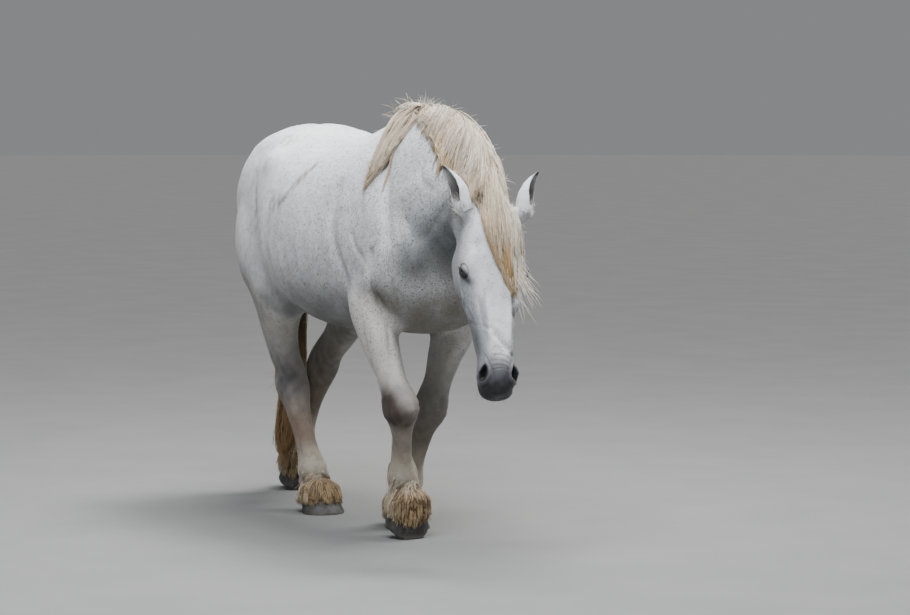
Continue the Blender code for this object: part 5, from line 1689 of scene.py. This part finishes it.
def lifted(paths, body):
    """Strands laid on the skin wherever they would run under it."""
    paths = paths.copy()
    for strand, gap in zip(paths, rng.uniform(0.002, 0.006, len(paths))):
        for k, place in enumerate(strand):
            strand[k] = body.outside(place, gap)
    return paths


def feather_place(points, limb):
    """How far down the pastern, how much on the ring over the hoof, and how far behind."""
    fetlock, coronet = PASTERNS[limb]
    at = along_pastern(points, fetlock, coronet)
    axis = fetlock + (coronet - fetlock) * np.clip(at, -0.5, 1.2)[:, None]
    behind = smoothstep(points[:, 1] - axis[:, 1], 0.0, 0.035)
    return at, smoothstep(at, 0.10, 0.95), behind


def feather_mass(limb):
    """The solid of the feather, drawn in to the leg in front and above."""
    obj = hair_mass("feather_" + limb)
    points = places(obj.data)
    at, ring, behind = feather_place(points, limb)
    fetlock, coronet = PASTERNS[limb]
    axis = fetlock + (coronet - fetlock) * np.clip(at, -1.5, 1.2)[:, None]
    drawn_in = 0.66 * (1 - ring) * (1 - 0.75 * behind) + 0.10 * bell(at, 0.40, 0.2) * behind
    put(obj.data, axis + (points - axis) * (1 - drawn_in)[:, None])
    return obj


def feather(limb, body, hair):
    """A ring of hair that falls over the hoof, and long hair behind the fetlock; its front lies close."""
    guides, count, steps = 700, 4, 6
    mass_object = feather_mass(limb)
    mass = Ground(mass_object.data)
    centre = Vector(PASTERNS[limb][1])

    def flow(place):
        return DOWN + Vector((place.x - centre.x, place.y - centre.y, 0)).normalized() * 0.35

    at, ring, behind = feather_place(mass.points, limb)
    over_hoof = smoothstep(at, -0.10, 0.45) * smoothstep(-at, -1.45, -0.9)
    sides = smoothstep(np.abs(mass.normals[:, 0]), 0.55, 0.95)
    density = 1.3 * over_hoof + 0.8 * ring + 1.3 * behind
    roots, _, part = mass.seeds(guides, density, np.stack([ring, behind, sides], axis=1))
    lengths = (0.066 + 0.045 * part[:, 1] * (1 - part[:, 0])) * rng.uniform(0.7, 1.25, guides)
    paths, facing = comb(mass, body, roots, flow, lengths, overhang=0.026, steps=steps)
    made, turned = locks(paths, facing, count, spread=0.0050, gather=0.45, wave=0.004, depth=0.005)
    made = lifted(made, body)
    golden = part[:, :1] * (1 - 0.7 * part[:, 2:])
    tones = blend(shade(224, 216, 202), shade(212, 186, 146), golden)
    tones = blend(tones, shade(104, 78, 54), some(guides, chance=0.42 * golden + 0.05, least=0.4))
    colours = varied(tones, count, roughly=0.12, streaks=0.26)[:, None, :]
    rootward = (np.linspace(1, 0, steps) ** 1.5)[None, :, None] * np.repeat(part[:, 0], count)[:, None, None]
    colours = blend(colours, shade(140, 124, 98), 0.55 * rootward)
    meshes = [hairs(body, made, turned, 0.0013, colours)]
    meshes.append(flyaways(mass, body, 0.1 + behind, count=60, length=0.045, tone=HAIR_CREAM, sag=0.5))
    finished(merged(f"feather_{limb}_locks", meshes), hair, "hair", "feather_" + limb)

    # Darker than the locks, as painted shade between them, and tan on the ring over the hoof.
    def under_tone(points):
        return blend(shade(186, 176, 158), shade(128, 102, 72), feather_place(points, limb)[1][:, None])

    shaded_under_hair(mass_object, 0.007, under_tone, hair, "hair", "feather_" + limb)


def lashes(body, side):
    """Dark hairs along the upper lid."""
    count = 34
    centre, look, slit, lid = (np.array(v) for v in eye_frame(side))
    angles = np.linspace(0.35, 2.75, count)
    edges = np.array([lid_edge(a) for a in angles]) * EYE_RADIUS
    out = np.sqrt(np.maximum(1.06 * EYE_RADIUS**2 - np.sum(edges**2, axis=1), 0))
    roots = centre + slit * edges[:, :1] + lid * edges[:, 1:] + look * out[:, None]
    ways = look * 0.9 + lid * 0.15 - lid * 0.5 + slit * np.cos(angles)[:, None] * 0.5
    ways = ways + rng.normal(size=(count, 3)) * 0.1
    paths, facing = loose(body, roots, ways, length=0.017, sag=0.12, steps=5)
    return hairs(body, paths, facing, 0.00042, np.tile(shade(36, 34, 34), (count, 1)))


def whiskers(body):
    """Pale hairs on the chin and under the lips."""
    count = 80
    out, down = in_heads(body.points)[:, 1], in_heads(body.points)[:, 2]
    chin = (down > 0.86) * (body.points[:, 1] < -0.9) * (out < -0.08)
    roots, normals = body.seeds(count, chin.astype(float))
    ways = normals + rng.normal(size=(count, 3)) * 0.25 + np.array(MUZZLE) * 0.3
    paths, facing = loose(body, roots, ways, length=0.030, sag=0.15, steps=5)
    return hairs(body, paths, facing, 0.00028, np.tile(shade(170, 168, 164), (count, 1)))


def lashes_and_whiskers(body, hair):
    meshes = [lashes(body, LEFT), lashes(body, RIGHT), whiskers(body)]
    finished(merged("lashes_and_whiskers", meshes), hair, "hair")


# ---------------------------------------------------------------- short coat


def coat_way(shares):
    """The way the short hair lies: back over the body, down the legs, towards the muzzle."""
    trunk, neck, head, ear, leg = (shares[:, k : k + 1] for k in range(5))
    back, neck_back, down = np.array((0, 0.80, -0.55)), np.array((0, 0.66, -0.72)), np.array((0, 0.12, -1))
    way = trunk * back + neck * neck_back + leg * down
    return way + head * np.array(MUZZLE) + ear * np.array(-MUZZLE * 0.9)


def coat_density(body, shares, bare):
    """Thicker on the small parts, and where tufts break the outline; thin on bare skin."""
    neck, head, ear, leg = shares.T[1:]
    below = near(body.points * SIDE_ON, (0, -0.60, 0.86), 0.20) + near(body.points, (0, 0.3, 0.72), 0.35)
    jowl = head * smoothstep(-in_heads(body.points)[:, 1], 0.18, 0.36)
    density = 1.0 + 1.0 * neck + 2.2 * leg + 3.0 * head + 5.0 * ear + 1.2 * below + 3.0 * jowl
    return density * (1 - 0.92 * np.clip(bare, 0, 1))


def tufts(name, body, shares, density, count, length, radius, coat):
    """Flat tufts of two steps that rise a little off the skin."""
    roots, normals, part = body.seeds(count, density, shares)
    way = coat_way(part) + rng.normal(size=(count, 3)) * 0.13
    way = unit(way - normals * np.sum(way * normals, axis=1, keepdims=True))
    long = length * rng.uniform(0.6, 1.3, (count, 1))
    rise = radius * rng.uniform(0.5, 1.5, (count, 1))
    at = lambda t, lift: roots + way * long * t + normals * lift
    paths = np.stack([at(0, -0.0004), at(0.5, rise), at(1.0, rise * 1.05)], axis=1)
    layers = coat_layers(roots, normals, part)
    # Each tuft's tone varies at random and is painted a little lighter on average, against the shade along
    # its own sides.
    layers["tone"] = np.clip(layers["tone"] * rng.uniform(0.96, 1.14, (count, 1)), 0, 0.95)
    facing = np.repeat(normals[:, None, :], 3, axis=1)
    mesh = strands(name, paths, facing, radius, layers, body.unwrapped(roots))
    finished(new_object(name, mesh), coat, "coat")


def short_coat(body, shares, bare, coat):
    """Flat tufts over the whole skin, in three pieces."""
    trunk, neck, head, ear, leg = shares.T
    density = coat_density(body, shares, bare)
    for name, where, count, length, radius in (
        ("coat_back", trunk + neck, 9000, 0.019, 0.00075),
        ("coat_face", head + ear, 7000, 0.0085, 0.00042),
        ("coat_legs", leg, 7000, 0.014, 0.00060),
    ):
        tufts(name, body, shares, density * (where > 0.5), count, length, radius, coat)


# ---------------------------------------------------------------- camera, light, floor


def add_camera():
    """At the photo's viewing angle: well ahead of the right shoulder, a little above the withers."""
    yaw, pitch = math.radians(-25.5), 0.07375
    distance, height, aside = 11.9, 1.78, 0.1916
    target = Vector((-0.1126, -0.4390, 0))  # before the right fore hoof
    film_width, focal = 36, 3106 / 910  # the focal length is in widths of the picture
    back = Vector((math.sin(yaw), -math.cos(yaw), 0))
    right = Vector((math.cos(yaw), math.sin(yaw), 0))
    data = bpy.data.cameras.new("camera")
    data.sensor_width = film_width
    data.lens = focal * film_width
    data.clip_end = 200
    camera = new_object("camera", data)
    camera.location = target + back * distance + right * aside + UP * height
    aim(camera, -back * math.cos(pitch) + DOWN * math.sin(pitch))
    bpy.context.scene.camera = camera


def aim(obj, way):
    obj.rotation_mode = "QUATERNION"
    obj.rotation_quaternion = way.to_track_quat("-Z", "Y")


def add_lamp(name, kind, way, power, colour):
    data = bpy.data.lights.new(name, kind)
    data.energy = power
    data.color = colour
    lamp = new_object(name, data)
    aim(lamp, way)
    return lamp


def add_disk(name, place, target, size, power, colour):
    """A round soft lamp at a place, turned to a target."""
    lamp = add_lamp(name, "AREA", Vector(target) - Vector(place), power, colour)
    lamp.location = place
    lamp.data.shape = "DISK"
    lamp.data.size = size


def add_light():
    """A large soft key from the horse's right, a top light, a veiled sun and a pale sky."""
    cool, warm, sunny = (0.97, 0.99, 1.0), (1.0, 0.99, 0.97), (1.0, 0.985, 0.96)
    add_disk("key", place=(-2.2, -3.4, 6.5), target=(0, 0, 1.0), size=4.0, power=590, colour=cool)
    add_disk("top", place=(0.6, 0.6, 5.5), target=(0, 0.2, 1.0), size=2.4, power=330, colour=warm)
    sun = add_lamp("sun", "SUN", way=Vector((-0.85, 0.05, -1.7)), power=3.3, colour=sunny)
    sun.data.angle = math.radians(20)
    world = bpy.data.worlds.new("world")
    bpy.context.scene.world = world
    world.use_nodes = True
    colour, strength = world.node_tree.nodes["Background"].inputs[:2]
    colour.default_value = (0.57, 0.59, 0.60, 1)
    strength.default_value = 0.42


def add_floor():
    bm = bmesh.new()
    bmesh.ops.create_circle(bm, cap_ends=True, segments=96, radius=60)
    mesh = mesh_from("floor", bm)
    floor = new_object("floor", mesh)
    mesh.materials.append(floor_material())


# ---------------------------------------------------------------- the horse


def sculpted_skin():
    """The skin with its muscles, folds, lids and ears."""
    skin = base_skin()
    sculpt = Sculpt(skin.data)
    sculpt_body(sculpt)
    sculpt_legs(sculpt)
    sculpt_head(sculpt)
    lids = [eyelids(sculpt, side) for side in (LEFT, RIGHT)]
    open_sockets(sculpt)
    whole = joined("horse_skin", [skin.data, *lids, *(ear_mesh(ear) for ear in EARS)])
    bpy.data.objects.remove(skin)
    rounded(whole.data)
    unwrap(whole)
    return whole


add_camera()
add_light()
add_floor()
coat, hair, glassy, horn = coat_material(), hair_material(), eye_material(), horn_material()
skin = sculpted_skin()
shares = Regions().of(skin.data)
skin_layers = coat_layers(places(skin.data), directions(skin.data), shares)
for layer, values in skin_layers.items():
    set_colours(skin.data, layer, values)
finished(skin, coat, "coat", *FLESH, *EARS)
body = Ground(skin.data)
for name in SIDES:
    eyeball(name, glassy)
crown_object = crown()
crown_mass = Ground(crown_object.data)
mane(crown_mass, body, hair)
forelock(crown_mass, body, hair)
shaded_under_hair(crown_object, 0.008, UNDER_MANE, hair, "hair", "mane_neck", "forelock")
withers_mane(body, hair)
ear_fluff(body, hair)
lashes_and_whiskers(body, hair)
tail(body, hair)
for limb in LIMBS:
    hoof(limb, horn)
    feather(limb, body, hair)
short_coat(body, shares, skin_layers["marks"][:, 1], coat)
